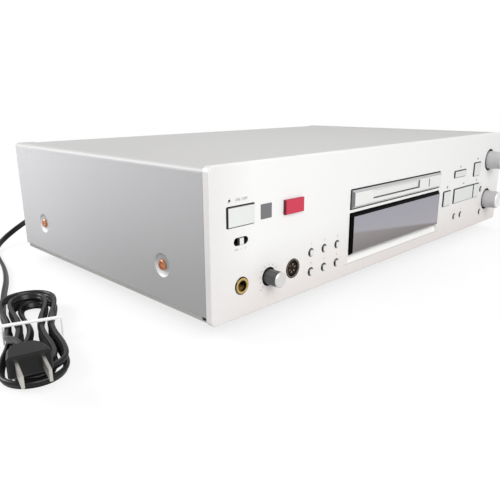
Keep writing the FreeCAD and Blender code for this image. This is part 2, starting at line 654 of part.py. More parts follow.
def chassis_pan():
    """Folded steel tray with side flanges, a rear flange, slots and standoffs for the main board."""
    y0, y1 = PAN_FRONT_Y, REAR_PANEL_Y
    pan = block(-PAN_HALF, PAN_HALF, y0, y1, FOOT_HEIGHT, PAN_TOP)
    flange_front = deep(FACE_RIM_DEPTH + 6)
    parts = [block(-PAN_HALF, -PAN_HALF + PAN_SHEET, flange_front, y1, FOOT_HEIGHT, FOOT_HEIGHT + PAN_FLANGE),
             block(PAN_HALF - PAN_SHEET, PAN_HALF, flange_front, y1, FOOT_HEIGHT, FOOT_HEIGHT + PAN_FLANGE),
             block(-PAN_HALF, PAN_HALF, y1 - PAN_SHEET, y1, FOOT_HEIGHT, PAN_TOP + 7)]
    parts += [rod("z", (x, y, PAN_TOP), 3.0, STANDOFF) for x, y in standoffs()]
    pan = pan.multiFuse(parts)
    cuts = []
    for k in range(10):
        x = -60 + 16 * k
        cuts.append(block(x, x + 4, deep(150), deep(200), FOOT_HEIGHT - 1, PAN_TOP + 1))
    for side in (-1, 1):
        for y in cover_screw_places():
            start = FreeCAD.Vector(side * (PAN_HALF + 1), y, high(SCREW_HEIGHT))
            cuts.append(Part.makeCylinder(SCREW_SHANK_RADIUS, 4, start, FreeCAD.Vector(-side, 0, 0)))
    cuts += [bar(x, z, SCREW_SHANK_RADIUS, y1 - 3, y1 + 1) for x, z in panel_screws()]
    return pan.cut(Part.makeCompound(cuts))


def standoffs():
    """Places of the posts under the main board."""
    return [(x, deep(d)) for x in (MAIN_LEFT + 8, MAIN_RIGHT - 8) for d in (MAIN_FRONT + 8, MAIN_REAR - 8)]


def rear_panel():
    """Flat rear panel with holes for the jacks, the optical sockets, the cord and the screws."""
    top = COVER_TOP - COVER_BAND_STEP - COVER_SHEET - FIT
    y0, y1 = REAR_PANEL_Y, REAR_PANEL_Y + REAR_SHEET
    panel = block(-PAN_HALF, PAN_HALF, y0, y1, FOOT_HEIGHT, top)
    holes = [bar(x, z, PHONO_COLLAR + FIT, y0 - 1, y1 + 1) for x in PHONO_X for z in PHONO_Z]
    holes += [slab(x, OPTICAL_Z, OPTICAL_SIZE + FIT, OPTICAL_SIZE + FIT, y0 - 1, y1 + 1) for x in OPTICAL_X]
    holes.append(bar(CORD_EXIT_X, CORD_EXIT_Z, BUSHING_RADIUS + FIT / 2, y0 - 1, y1 + 1))
    holes += [bar(x, rear_lip_height(), SCREW_SHANK_RADIUS, y0 - 1, y1 + 1) for x in lip_screws()]
    holes += [bar(x, z, SCREW_SHANK_RADIUS + FIT, y0 - 1, y1 + 1) for x, z in panel_screws()]
    return panel.cut(Part.makeCompound(holes))


def feet():
    """Four round feet with a hollow underneath."""
    outline = [(4.0, 2.5), (FOOT_RADIUS - 5, 2.5), (FOOT_RADIUS - 4, 0), (FOOT_RADIUS - 1, 0),
               (FOOT_RADIUS, 1.0), (FOOT_RADIUS - 1, FOOT_HEIGHT - 1), (FOOT_RADIUS - 2, FOOT_HEIGHT), (4.0, FOOT_HEIGHT)]
    solids = []
    for x in (-FACE_WIDTH / 2 + FOOT_INSET_X, FACE_WIDTH / 2 - FOOT_INSET_X):
        for y in (deep(FOOT_FRONT), REAR_Y - FOOT_REAR):
            points = [FreeCAD.Vector(x + radius, y, z) for radius, z in outline]
            face = Part.Face(Part.makePolygon(points + points[:1]))
            solids.append(face.revolve(FreeCAD.Vector(x, y, 0), FreeCAD.Vector(0, 0, 1), 360))
    return solids


def screw(place, way):
    """Pan-head screw with a cross recess; the place is under its head and it points along way."""
    start = FreeCAD.Vector(*place)
    way = FreeCAD.Vector(*way)
    head = Part.makeCylinder(SCREW_HEAD_RADIUS, SCREW_HEAD_HEIGHT, start - way * SCREW_HEAD_HEIGHT, way)
    front = [edge for edge in head.Edges if edge.CenterOfMass.distanceToPoint(start) > SCREW_HEAD_HEIGHT - 0.1
             and edge.Length > 2 * SCREW_HEAD_RADIUS + 4]
    head = head.makeChamfer(0.6, front[:1])
    shank = Part.makeCylinder(SCREW_SHANK_RADIUS - FIT / 2, SCREW_LENGTH, start, way)
    across = 0.8
    if abs(way.x) > 0.5:
        bars = [Part.makeBox(1.2, 4.4, across), Part.makeBox(1.2, across, 4.4)]
    else:
        bars = [Part.makeBox(4.4, 1.2, across), Part.makeBox(across, 1.2, 4.4)]
    middle = start - way * SCREW_HEAD_HEIGHT
    for cross in bars:
        cross.translate(middle - cross.BoundBox.Center)
    return head.fuse(shank).cut(Part.makeCompound(bars))


def cover_screws():
    """Two screws on each side, with their heads in the dimples."""
    reach = FACE_WIDTH / 2 - DIMPLE_DEPTH
    return [screw((side * reach, y, high(SCREW_HEIGHT)), (-side, 0, 0))
            for side in (-1, 1) for y in cover_screw_places()]


def rear_screws():
    """Screws in the cover's rear lip and along the rear panel's bottom."""
    lip = [screw((x, REAR_Y, rear_lip_height()), (0, -1, 0)) for x in lip_screws()]
    return lip + [screw((x, REAR_PANEL_Y + REAR_SHEET, z), (0, -1, 0)) for x, z in panel_screws()]


def main_board():
    """Populated main board: capacitors, heat sink, shield can, chips and the jacks' header."""
    base = PAN_TOP + STANDOFF
    top = base + 1.6
    board = block(MAIN_LEFT, MAIN_RIGHT, deep(MAIN_FRONT), deep(MAIN_REAR), base, top)
    parts = [rod("z", (MAIN_LEFT + 14 + 20 * k, deep(MAIN_REAR - 20), top), radius, height)
             for k, (radius, height) in enumerate(((8, 32), (8, 32), (5, 16), (5, 16)))]
    fins = [block(MAIN_LEFT + 10, MAIN_LEFT + 60, deep(MAIN_FRONT + 12 + 5 * k), deep(MAIN_FRONT + 14 + 5 * k),
                  top, top + 34) for k in range(5)]
    fins.append(block(MAIN_LEFT + 33, MAIN_LEFT + 36, deep(MAIN_FRONT + 12), deep(MAIN_FRONT + 34), top, top + 34))
    parts += fins
    parts.append(block(20, 70, deep(MAIN_FRONT + 20), deep(MAIN_FRONT + 60), top, top + 12))
    parts += [block(100 + 34 * k, 122 + 34 * k, deep(MAIN_FRONT + 24), deep(MAIN_FRONT + 46), top, top + 3)
              for k in range(3)]
    return board.multiFuse(parts)


def power_transformer():
    """Laminated core with its bobbin, standing on the pan."""
    x, y = TRANSFORMER_X, REAR_Y - TRANSFORMER_FROM_REAR
    core = block(x - 28, x + 28, y - 16, y + 16, PAN_TOP, PAN_TOP + 47)
    windows = [block(x + a, x + b, y - 17, y + 17, PAN_TOP + 10, PAN_TOP + 37) for a, b in ((-19, -9), (9, 19))]
    core = core.cut(Part.makeCompound(windows))
    bobbin = block(x - 18.8, x + 18.8, y - 26, y + 26, PAN_TOP + 10.2, PAN_TOP + 36.8)
    bobbin = rounded(bobbin, 5.0, lambda edge: runs_along(edge, 2))
    feet_plate = block(x - 36, x + 36, y - 8, y + 8, PAN_TOP, PAN_TOP + 2)
    return core.multiFuse([bobbin, feet_plate])


def line_jacks():
    """Block of four phono jacks, two high and two wide, on the main board."""
    base = PAN_TOP + STANDOFF + 1.6
    y0 = REAR_PANEL_Y
    body = block(PHONO_X[0] - 9, PHONO_X[-1] + 9, deep(MAIN_REAR) - 6, y0, base, PHONO_Z[-1] + 8)
    sleeves = [bar(x, z, PHONO_RADIUS, y0, REAR_Y + JACK_REACH) for x in PHONO_X for z in PHONO_Z]
    sleeves += [bar(x, z, PHONO_COLLAR, y0, REAR_Y) for x in PHONO_X for z in PHONO_Z]
    holes = [bar(x, z, PHONO_HOLE, y0, REAR_Y + JACK_REACH + 1) for x in PHONO_X for z in PHONO_Z]
    return body.multiFuse(sleeves).cut(Part.makeCompound(holes))


def optical_sockets():
    """Three square optical sockets on the main board, each with a sunk front."""
    base = PAN_TOP + STANDOFF + 1.6
    solids = []
    for x in OPTICAL_X:
        body = block(x - OPTICAL_SIZE / 2, x + OPTICAL_SIZE / 2, deep(MAIN_REAR) - 4, REAR_PANEL_Y,
                     base, OPTICAL_Z + OPTICAL_SIZE / 2)
        nose = slab(x, OPTICAL_Z, OPTICAL_SIZE, OPTICAL_SIZE, REAR_PANEL_Y, REAR_Y + OPTICAL_REACH)
        recess = slab(x, OPTICAL_Z, OPTICAL_SIZE - 2.4, OPTICAL_SIZE - 2.4, REAR_Y, REAR_Y + OPTICAL_REACH + 1)
        solids.append(body.fuse(nose).cut(recess))
    return solids


def cord_bushing():
    """Strain relief: flanges inside and outside the rear panel and a tapered nose."""
    x, z = CORD_EXIT_X, CORD_EXIT_Z
    y0, y1 = REAR_PANEL_Y, REAR_PANEL_Y + REAR_SHEET
    end = REAR_Y + BUSHING_REACH
    return turned(x, z, [(0, y0 - 8), (BUSHING_RADIUS - 1, y0 - 8), (BUSHING_RADIUS + 1.5, y0), (BUSHING_RADIUS, y0),
                         (BUSHING_RADIUS, y1), (BUSHING_RADIUS + 2.5, y1), (BUSHING_RADIUS + 2, y1 + 2),
                         (CORD / 2 + 1.2, end), (0, end)])


def loader_chassis():
    """Loader frame: deck plate, side walls, legs to the pan and brackets for the rods and the screw."""
    y0 = deep(DECK_FRONT)
    y1 = y0 + DECK_LENGTH
    top = DECK_Z + DECK_SHEET
    plate = block(SLOT_X - DECK_HALF, SLOT_X + DECK_HALF, y0, y1, DECK_Z, top)
    parts = []
    for side in (-1, 1):
        outer = SLOT_X + side * DECK_HALF
        inner = outer - side * DECK_SHEET
        parts.append(block(min(outer, inner), max(outer, inner), y0, y1, DECK_Z, DECK_Z + DECK_SIDE))
        leg = outer - side * LEG_SIZE
        for start in (deep(24), y1 - LEG_SIZE):
            parts.append(block(min(outer, leg), max(outer, leg), start, start + LEG_SIZE, PAN_TOP, DECK_Z))
    for y in bracket_places():
        parts.append(block(SLOT_X - ROD_SPACING / 2 - 4, SLOT_X + SCREW_OFFSET + 4, y, y + 2,
                           rod_height() - 4, DECK_Z))
    frame = plate.multiFuse(parts)
    spindle_y = spindle_place()
    sled_start = spindle_y + MOTOR_RADIUS + 1
    window = block(SLOT_X - SLED_HALF - 2, SLOT_X + SCREW_OFFSET + 4, bracket_places()[0] + 2,
                   bracket_places()[1], DECK_Z - 1, top + 1)
    cuts = [window, rod("z", (SLOT_X, spindle_y, DECK_Z - 1), 3.0, 4)]
    for y in bracket_places():
        cuts += [bar(SLOT_X + side * ROD_SPACING / 2, rod_height(), ROD_RADIUS, y - 1, y + 3) for side in (-1, 1)]
        cuts.append(bar(SLOT_X + SCREW_OFFSET, rod_height(), SCREW_JOURNAL + SHAFT_GAP, y - 1, y + 3))
    return frame.cut(Part.makeCompound(cuts))


def spindle_place():
    """Y of the spindle, under the centre of a loaded cartridge."""
    return deep(HOLDER_FRONT) + SPINDLE_FROM_FRONT


def rod_height():
    """Z of the guide rods and the feed screw."""
    return DECK_Z - ROD_DROP


def bracket_places():
    """Y of the near face of the two brackets under the deck plate."""
    first = spindle_place() + MOTOR_RADIUS + 1
    return first, first + 2 + SLED_LENGTH + SLED_TRAVEL + 2


def guide_rods():
    """Two ground rods that carry the pickup sled."""
    first, last = bracket_places()
    return [bar(SLOT_X + side * ROD_SPACING / 2, rod_height(), ROD_RADIUS, first, last + 2) for side in (-1, 1)]


def feed_screw():
    """Feed screw with a journal in each bracket and a gear behind the rear one."""
    first, last = bracket_places()
    x, z = SLOT_X + SCREW_OFFSET, rod_height()
    return turned(x, z, [(0, first), (SCREW_JOURNAL, first), (SCREW_JOURNAL, first + 2 + FIT),
                         (SCREW_RADIUS, first + 2 + FIT), (SCREW_RADIUS, last - FIT), (SCREW_JOURNAL, last - FIT),
                         (SCREW_JOURNAL, last + 2 + FIT), (4.0, last + 2 + FIT), (4.0, last + 4), (0, last + 4)])


def pickup_sled():
    """Sled on the rods with its lens on top and an arm round the feed screw."""
    first, last = bracket_places()
    y0 = first + 2 + 1.0
    y1 = y0 + SLED_LENGTH
    z = rod_height()
    low = z - SLED_HEIGHT / 2
    top = z + SLED_HEIGHT / 2
    body = block(SLOT_X - SLED_HALF, SLOT_X + SLED_HALF, y0, y1, low, top)
    arm = block(SLOT_X + SLED_HALF, SLOT_X + SCREW_OFFSET + 3.2, y0 + 4, y0 + 10, low, z + 3)
    lens = rod("z", (SLOT_X, (y0 + y1) / 2, top), 3.2, 1.6)
    bores = [bar(SLOT_X + side * ROD_SPACING / 2, z, ROD_RADIUS + SHAFT_GAP, y0 - 1, y1 + 1) for side in (-1, 1)]
    bores.append(bar(SLOT_X + SCREW_OFFSET, z, SCREW_RADIUS + SHAFT_GAP, y0, y1))
    return body.multiFuse([arm, lens]).cut(Part.makeCompound(bores))


def spindle_parts():
    """Spindle motor under the deck plate and the turntable with its shaft."""
    y = spindle_place()
    x = SLOT_X
    motor = rod("z", (x, y, DECK_Z - MOTOR_HEIGHT), MOTOR_RADIUS, MOTOR_HEIGHT)
    motor = motor.cut(rod("z", (x, y, DECK_Z - MOTOR_HEIGHT + 1), 1.0 + SHAFT_GAP, MOTOR_HEIGHT))
    table_z = DECK_Z + DECK_SHEET + 1.0
    shaft = rod("z", (x, y, DECK_Z - MOTOR_HEIGHT + 1.5), 1.0, table_z - DECK_Z + MOTOR_HEIGHT - 1.5)
    table = rod("z", (x, y, table_z), TABLE_RADIUS, TABLE_HEIGHT)
    boss = rod("z", (x, y, table_z + TABLE_HEIGHT), 2.0, 1.2)
    return motor, shaft.multiFuse([table, boss])


def cartridge_holder():
    """Folded sheet holder that the cartridge slides into, with a pin on each side for the cam slide."""
    y0 = deep(HOLDER_FRONT)
    y1 = y0 + HOLDER_LENGTH
    low = SLOT_Z - HOLDER_GAP
    top = SLOT_Z + CARTRIDGE_HEIGHT + HOLDER_GAP + 0.4
    outer = HOLDER_HALF + HOLDER_SHEET
    shell = block(SLOT_X - outer, SLOT_X + outer, y0, y1, low, top)
    hollow = block(SLOT_X - HOLDER_HALF, SLOT_X + HOLDER_HALF, y0 - 1, y1 - HOLDER_SHEET,
                   low + HOLDER_SHEET, top - HOLDER_SHEET)
    ledge = HOLDER_HALF - HOLDER_LEDGE
    below = block(SLOT_X - ledge, SLOT_X + ledge, y0 - 1, y1 + 1, low - 1, low + HOLDER_SHEET)
    above = block(SLOT_X - 18, SLOT_X + 18, y0 + 14, y1 - 14, top - HOLDER_SHEET - 0.1, top + 1)
    holder = shell.cut(hollow).cut(below).cut(above)
    pins = []
    for side in (-1, 1):
        start = FreeCAD.Vector(SLOT_X + side * outer, pin_place()[0], pin_place()[1])
        pins.append(Part.makeCylinder(CAM_PIN, CAM_GAP + CAM_SHEET + 0.6, start, FreeCAD.Vector(side, 0, 0)))
    return holder.multiFuse(pins)


def pin_place():
    """Y and Z of the holder's pins at rest."""
    return deep(HOLDER_FRONT) + HOLDER_LENGTH / 2, SLOT_Z + CARTRIDGE_HEIGHT / 2


def cam_slide():
    """Two cam plates joined by a bridge; slanted slots in them lower the holder's pins."""
    pin_y, pin_z = pin_place()
    low = DECK_Z + DECK_SHEET + FIT
    start = HOLDER_HALF + HOLDER_SHEET + CAM_GAP
    y0 = pin_y - CAM_TRAVEL - 8
    y1 = deep(HOLDER_FRONT) + HOLDER_LENGTH + 6
    plates = []
    radius = CAM_PIN + SHAFT_GAP
    reach = math.hypot(CAM_TRAVEL, HOLDER_DROP)
    ny, nz = -HOLDER_DROP / reach * radius, CAM_TRAVEL / reach * radius
    for side in (-1, 1):
        a = SLOT_X + side * start
        b = SLOT_X + side * (start + CAM_SHEET)
        x0, x1 = min(a, b), max(a, b)
        plate = block(x0, x1, y0, y1, low, low + CAM_HEIGHT)
        end_y, end_z = pin_y - CAM_TRAVEL, pin_z - HOLDER_DROP
        points = [(pin_y + ny, pin_z + nz), (pin_y - ny, pin_z - nz), (end_y - ny, end_z - nz), (end_y + ny, end_z + nz)]
        outline = [FreeCAD.Vector(x0 - 1, y, z) for y, z in points]
        slot = Part.Face(Part.makePolygon(outline + outline[:1])).extrude(FreeCAD.Vector(CAM_SHEET + 2, 0, 0))
        ends = [rod("x", (x0 - 1, y, z), radius, CAM_SHEET + 2) for y, z in ((pin_y, pin_z), (end_y, end_z))]
        plates.append(plate.cut(slot.multiFuse(ends)))
    half = start + CAM_SHEET
    bridge = block(SLOT_X - half, SLOT_X + half, y1 - 3, y1, low + 6, low + CAM_HEIGHT)
    return plates[0].multiFuse([plates[1], bridge])


def cord_points():
    """Points of the free cord from the bushing to the hank, chosen by hand from the photograph."""
    return [(CORD_EXIT_X, REAR_Y + BUSHING_REACH, CORD_EXIT_Z), (-160, 159, 45), (-162.6, 178, 39.5),
            (-172, 193.5, 30.5), (-188, 202, 20), (-206, 201, 10.5), (-221, 191, 4.5), (-231, 174, CORD_FLOOR + 0.1),
            (-238, 147, CORD_FLOOR), (-246, 112, CORD_FLOOR), (-258, 76, CORD_FLOOR), (-273.5, 42, CORD_FLOOR),
            hank_points()[0]]


def tail_points():
    """Points of the cord's last stretch, up over the hank to the plug."""
    return [hank_points()[-1], hank_place(15, 14.4, 8.8), hank_place(26, 13.7, 14.1), plug_place(-10),
            plug_place(0)]


def hank_place(along, across, z):
    """Place in the hank's own directions: along its axis and across it."""
    a = math.radians(HANK_AXIS)
    return (HANK_CENTRE[0] + along * math.cos(a) + across * math.sin(a),
            HANK_CENTRE[1] + along * math.sin(a) - across * math.cos(a), z)


def plug_place(along):
    """Place on the plug's axis, measured from its cord end."""
    a = math.radians(HANK_AXIS + PLUG_TURN)
    x, y, z = hank_place(PLUG_ALONG, PLUG_ACROSS, PLUG_Z)
    return (x + along * math.cos(a), y + along * math.sin(a), z)


def hank_amplitude(run):
    """Half width of one run of the hank: inwards over the lower layer, outwards over the upper."""
    return abs(run - (HANK_RUNS - 1) // 2)


def hank_points():
    """End points of the hank's runs; three for each run, the middle one at the waist."""
    points = []
    for run in range(HANK_RUNS):
        side = 1 if run % 2 == 0 else -1
        way = 1 if run % 2 == 0 else -1
        level = hank_amplitude(run)
        width = HANK_INNER + HANK_STEP * level
        waist = HANK_WAIST + HANK_WAIST_STEP * level
        lower = run < (HANK_RUNS - 1) // 2
        climb = run == (HANK_RUNS - 1) // 2
        z0 = CORD_FLOOR if lower or climb else CORD_FLOOR + HANK_LAYER
        z1 = CORD_FLOOR if lower else CORD_FLOOR + HANK_LAYER
        half = HANK_LENGTH / 2
        points.append(hank_place(-way * half, side * width, z0))
        points.append(hank_place(0, side * waist, (z0 + z1) / 2))
        if run < HANK_RUNS - 1:
            points.append(hank_place(way * half, side * width, z1))
    return points


def arc_pair(a, b, way):
    """Two equal arcs from a to b whose directions at both ends are the same."""
    a, b, way = FreeCAD.Vector(*a), FreeCAD.Vector(*b), FreeCAD.Vector(*way)
    middle = (a + b) * 0.5
    edges = []
    for start, end, sign in ((a, middle, 1), (middle, b, -1)):
        chord = end - start
        normal = chord.cross(way)
        if normal.Length < 1e-6:
            return [Part.LineSegment(a, b).toShape()]
        direction = way if sign > 0 else way
        if sign > 0:
            edges.append(arc_from(start, end, direction))
        else:
            edges.append(arc_from(end, start, direction * -1))
    return [edges[0], edges[1]]


def arc_from(start, end, direction):
    """Arc from start to end that leaves start along direction."""
    chord = end - start
    direction = FreeCAD.Vector(direction).normalize()
    side = chord - direction * chord.dot(direction)
    side.normalize()
    radius = chord.dot(chord) / (2 * chord.dot(side))
    centre = start + side * radius
    half = (chord * 0.5 + start) - centre
    half.normalize()
    return Part.Arc(start, centre + half * radius, end).toShape()


def hank_wire():
    """Centre line of the hank: paired arcs along each run and half turns between runs."""
    points = hank_points()
    a = math.radians(HANK_AXIS)
    edges = []
    first = FreeCAD.Vector(*points[0])
    lead_in = FreeCAD.Vector(math.cos(a), math.sin(a), 0) * CORD
    edges.append(Part.LineSegment(first - lead_in, first).toShape())
    index = 0
    for run in range(HANK_RUNS):
        sign = 1 if run % 2 == 0 else -1
        way = (sign * math.cos(a), sign * math.sin(a), 0)
        last = run == HANK_RUNS - 1
        stretch = points[index:index + (2 if last else 3)]
        for start, end in zip(stretch, stretch[1:]):
            edges += arc_pair(start, end, way)
        if last:
            tip = FreeCAD.Vector(*stretch[-1])
            edges.append(Part.LineSegment(tip, tip + FreeCAD.Vector(*way) * CORD).toShape())
            break
        index += 3
        start, end = FreeCAD.Vector(*points[index - 1]), FreeCAD.Vector(*points[index])
        middle = (start + end) * 0.5
        top = middle + FreeCAD.Vector(*way) * (start.distanceToPoint(end) / 2)
        edges.append(Part.Arc(start, top, end).toShape())
    return Part.Wire(Part.__sortEdges__(edges))


def tube(wire, radius):
    """Round tube along a wire, piped in default mode."""
    edge = wire.OrderedEdges[0]
    start = edge.valueAt(edge.FirstParameter)
    if start.distanceToPoint(wire.OrderedVertexes[0].Point) > 1e-6:
        start = wire.OrderedVertexes[0].Point
    way = wire.OrderedEdges[0].tangentAt(wire.OrderedEdges[0].FirstParameter)
    ring = Part.Wire(Part.makeCircle(radius, start, way))
    return wire.makePipeShell([ring], True, False)


def smooth_wire(points):
    """Straight runs joined by arcs that are as large as the runs allow; prints their radii."""
    places = [FreeCAD.Vector(*point) for point in points]
    edges = []
    radii = []
    here = places[0]
    for before, corner, after in zip(places, places[1:], places[2:]):
        a = before - corner
        b = after - corner
        reach = 0.45 * min(a.Length, b.Length)
        turn = math.pi - a.getAngle(b)
        radii.append(reach / math.tan(turn / 2))
        a.normalize()
        b.normalize()
        start = corner + a * reach
        end = corner + b * reach
        bisector = (a + b).normalize()
        centre = corner + bisector * (radii[-1] / math.cos(turn / 2))
        middle = centre - bisector * radii[-1]
        edges.append(Part.LineSegment(here, start).toShape())
        edges.append(Part.Arc(start, middle, end).toShape())
        here = end
    edges.append(Part.LineSegment(here, places[-1]).toShape())
    print("arc radii", [round(radius, 1) for radius in radii])
    return Part.Wire(edges)


def measured_tube(name, wire, radius):
    """Tube along a wire; prints its volume against its section times its length."""
    solid = tube(wire, radius)
    expected = math.pi * radius ** 2 * wire.Length
    print(name, "length", round(wire.Length, 1), "volume ratio", round(solid.Volume / expected, 4))
    return solid


def least_gap(wire, diameter):
    """Least gap between stretches of a wire that lie more than four diameters apart along it."""
    points = wire.discretize(Distance=2.5)
    skip = int(4 * diameter / 2.5)
    least = min(points[i].distanceToPoint(points[j]) for i in range(len(points))
                for j in range(i + skip, len(points)))
    return least - diameter


def cord_tie():
    """Plastic tie round the hank's waist."""
    level = (HANK_RUNS - 1) // 2
    half = HANK_WAIST + HANK_WAIST_STEP * level + CORD / 2 + 0.4
    top = CORD_FLOOR + HANK_LAYER + CORD / 2 + 0.5
    low = 0.0
    outline = [hank_place(-TIE_WIDTH / 2, side, z) for side, z in
               ((-half - TIE_SHEET, low), (half + TIE_SHEET, low), (half + TIE_SHEET, top + TIE_SHEET),
                (-half - TIE_SHEET, top + TIE_SHEET))]
    hole = [hank_place(-TIE_WIDTH / 2 - 1, side, z) for side, z in
            ((-half, low - 1), (half, low - 1), (half, top), (-half, top))]
    a = math.radians(HANK_AXIS)
    way = FreeCAD.Vector(math.cos(a), math.sin(a), 0)
    faces = [Part.Face(Part.makePolygon([FreeCAD.Vector(*point) for point in line + line[:1]]))
             for line in (outline, hole)]
    return faces[0].extrude(way * TIE_WIDTH).cut(faces[1].extrude(way * (TIE_WIDTH + 2)))


def mains_plug():
    """Moulded two-blade plug lying on the floor."""
    def placed(solid):
        solid.rotate(FreeCAD.Vector(0, 0, 0), FreeCAD.Vector(0, 0, 1), HANK_AXIS + PLUG_TURN)
        solid.translate(FreeCAD.Vector(*plug_place(0)))
        return solid

    half_width, half_height = PLUG_WIDTH / 2, PLUG_HEIGHT / 2
    neck = Part.makeCylinder(CORD / 2 + 1.5, 6, FreeCAD.Vector(0, 0, 0), FreeCAD.Vector(1, 0, 0))
    points = [(4, 5), (9, half_width - 2), (PLUG_LENGTH, half_width), (PLUG_LENGTH, -half_width),
              (9, -half_width + 2), (4, -5)]
    outline = [FreeCAD.Vector(x, y, -half_height) for x, y in points]
    body = Part.Face(Part.makePolygon(outline + outline[:1])).extrude(FreeCAD.Vector(0, 0, PLUG_HEIGHT))
    body = body.makeChamfer(1.2, body.Edges)
    blades = []
    for side in (-1, 1):
        blades.append(Part.makeBox(BLADE_LENGTH + 2, BLADE_SHEET, BLADE_WIDTH,
                                   FreeCAD.Vector(PLUG_LENGTH - 2, side * BLADE_SPACING / 2 - BLADE_SHEET / 2,
                                                  -BLADE_WIDTH / 2)))
    return placed(body.multiFuse([neck] + blades))


def main():
    os.makedirs("parts", exist_ok=True)
    export(front_panel(), "front_panel")
    glass, bezel = window_and_bezel()
    export(glass, "display_window")
    export(bezel, "slot_bezel")
    export(slot_door(), "slot_door")
    for name, (x, z, width, height) in rectangular_keys().items():
        export(rectangular_key(x, z, width, height), name)
    for name, (x, z) in round_keys().items():
        export(round_key(x, z), name)
    sensor, badge, lamp = small_front_fittings()
    export(sensor, "sensor_window")
    export(badge, "badge_plate")
    export(lamp, "standby_lamp")
    export(headphone_jack(), "headphone_jack")
    export(keyboard_socket(), "keyboard_socket")
    export(display_board(), "display_board")
    export(display_tube(), "display_tube")
    switch, lever = timer_parts()
    export(switch, "timer_switch")
    export(lever, "timer_slider")
    export(control_body(left(LEVEL[0]), high(LEVEL[1])), "level_pot")
    export(control_body(right(JOG[0]), high(JOG[1])), "jog_encoder")
    export(control_body(right(REC_LEVEL[0]), high(REC_LEVEL[1])), "rec_level_pot")
    export(level_knob(), "level_knob")
    jog_x, jog_z = right(JOG[0]), high(JOG[1])
    export(big_knob(jog_x, jog_z, KNOB_REACH, None), "jog_knob")
    export(bar(jog_x, jog_z, SHAFT_RADIUS, FRONT_Y - 6 + FIT, deep(BOARD_DEPTH - 1 - JOG_PUSH)), "jog_plunger")
    export(big_knob(right(REC_LEVEL[0]), high(REC_LEVEL[1]), REC_LEVEL_REACH, deep(BOARD_DEPTH - 1)),
           "rec_level_knob")
    export(top_cover(), "top_cover")
    export(chassis_pan(), "chassis_pan")
    export(rear_panel(), "rear_panel")
    export(feet(), "feet")
    export(cover_screws(), "cover_screws")
    export(rear_screws(), "rear_screws")
    export(main_board(), "main_board")
    export(power_transformer(), "power_transformer")
    export(line_jacks(), "line_jacks")
    export(optical_sockets(), "optical_sockets")
    export(cord_bushing(), "cord_bushing")
    export(loader_chassis(), "loader_chassis")
    export(guide_rods(), "guide_rods")
    export(feed_screw(), "feed_screw")
    export(pickup_sled(), "pickup_sled")
    motor, table = spindle_parts()
    export(motor, "spindle_motor")
    export(table, "turntable")
    export(cartridge_holder(), "cartridge_holder")
    export(cam_slide(), "cam_slide")
    hank = hank_wire()
    print("hank's least gap", round(least_gap(hank, CORD), 2))
    export(measured_tube("hank", hank, CORD / 2), "cord_hank")
    a = math.radians(HANK_AXIS)
    start = CORD + 2 * FIT
    lead = cord_points()
    lead[-1] = (lead[-1][0] - start * math.cos(a), lead[-1][1] - start * math.sin(a), lead[-1][2])
    export(measured_tube("lead", smooth_wire(lead), CORD / 2), "cord_lead")
    tail = tail_points()
    tail[0] = (tail[0][0] + start * math.cos(a), tail[0][1] + start * math.sin(a), tail[0][2])
    tail[-1] = plug_place(-FIT)
    export(measured_tube("tail", smooth_wire(tail), CORD / 2), "cord_tail")
    export(cord_tie(), "cord_tie")
    export(mains_plug(), "mains_plug")


main()
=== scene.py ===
"""Studio scene of a full-width minidisc deck, laid out as a Blender add-on."""
import math

import bpy
import numpy as np
from mathutils import Matrix, Vector


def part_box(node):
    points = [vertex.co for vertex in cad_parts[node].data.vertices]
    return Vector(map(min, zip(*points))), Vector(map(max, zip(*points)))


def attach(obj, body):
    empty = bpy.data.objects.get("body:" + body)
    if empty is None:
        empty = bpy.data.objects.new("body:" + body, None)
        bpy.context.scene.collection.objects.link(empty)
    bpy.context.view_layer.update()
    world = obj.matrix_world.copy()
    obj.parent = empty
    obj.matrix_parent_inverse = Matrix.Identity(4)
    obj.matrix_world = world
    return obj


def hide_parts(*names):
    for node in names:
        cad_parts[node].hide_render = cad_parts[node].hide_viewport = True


bl_info = {
    "name": "Minidisc Deck",
    "version": (1, 0, 0),
    "blender": (4, 5, 0),
    "location": "View3D > Sidebar > Deck",
    "description": "Dresses the packed minidisc deck with finishes, print, a flat mains cord and a studio",
    "category": "Object",
}

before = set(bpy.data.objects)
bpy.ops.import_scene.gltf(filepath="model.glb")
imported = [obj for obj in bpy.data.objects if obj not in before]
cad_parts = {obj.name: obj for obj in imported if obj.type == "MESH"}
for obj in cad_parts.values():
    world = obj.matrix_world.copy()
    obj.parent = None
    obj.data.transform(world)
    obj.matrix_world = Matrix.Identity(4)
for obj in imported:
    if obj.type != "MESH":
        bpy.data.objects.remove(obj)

MM = 0.001
FACE_LOW, FACE_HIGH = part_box("front_panel")
FRONT = FACE_LOW[1]
LEFT = FACE_LOW[0]
RIGHT = FACE_HIGH[0]
BASE = FACE_LOW[2]
TOP = FACE_HIGH[2]
PRINT_LIFT = 0.06 * MM

# Places of details that the finishes follow: heights are from the faceplate's lower edge, and the
# screws' insets from the cover's front and rear edges
EDGE = 0.2 * MM
RIM_WALL = 2.2 * MM
WELL_BOTTOM = 9.1 * MM
SCREW_HEIGHT = 29.5 * MM
SCREW_INSET = (42.7 * MM, 42.0 * MM)
DIMPLE_RADIUS = 8.5 * MM
DIMPLE_LIP = 0.7 * MM
JACK_BORE = 3.6 * MM
JACK_RIM = 5.0 * MM
SOCKET_CORE = 5.0 * MM
SOCKET_EDGE = 6.1 * MM
SOCKET_PINS = 2.6 * MM
LENS_RADIUS = 0.8 * MM
KNOB_RIBS = 60
GRAIN_SCALE = 5200.0
GRAIN_DEPTH = 0.04 * MM
FACING = (0.35, 0.65)

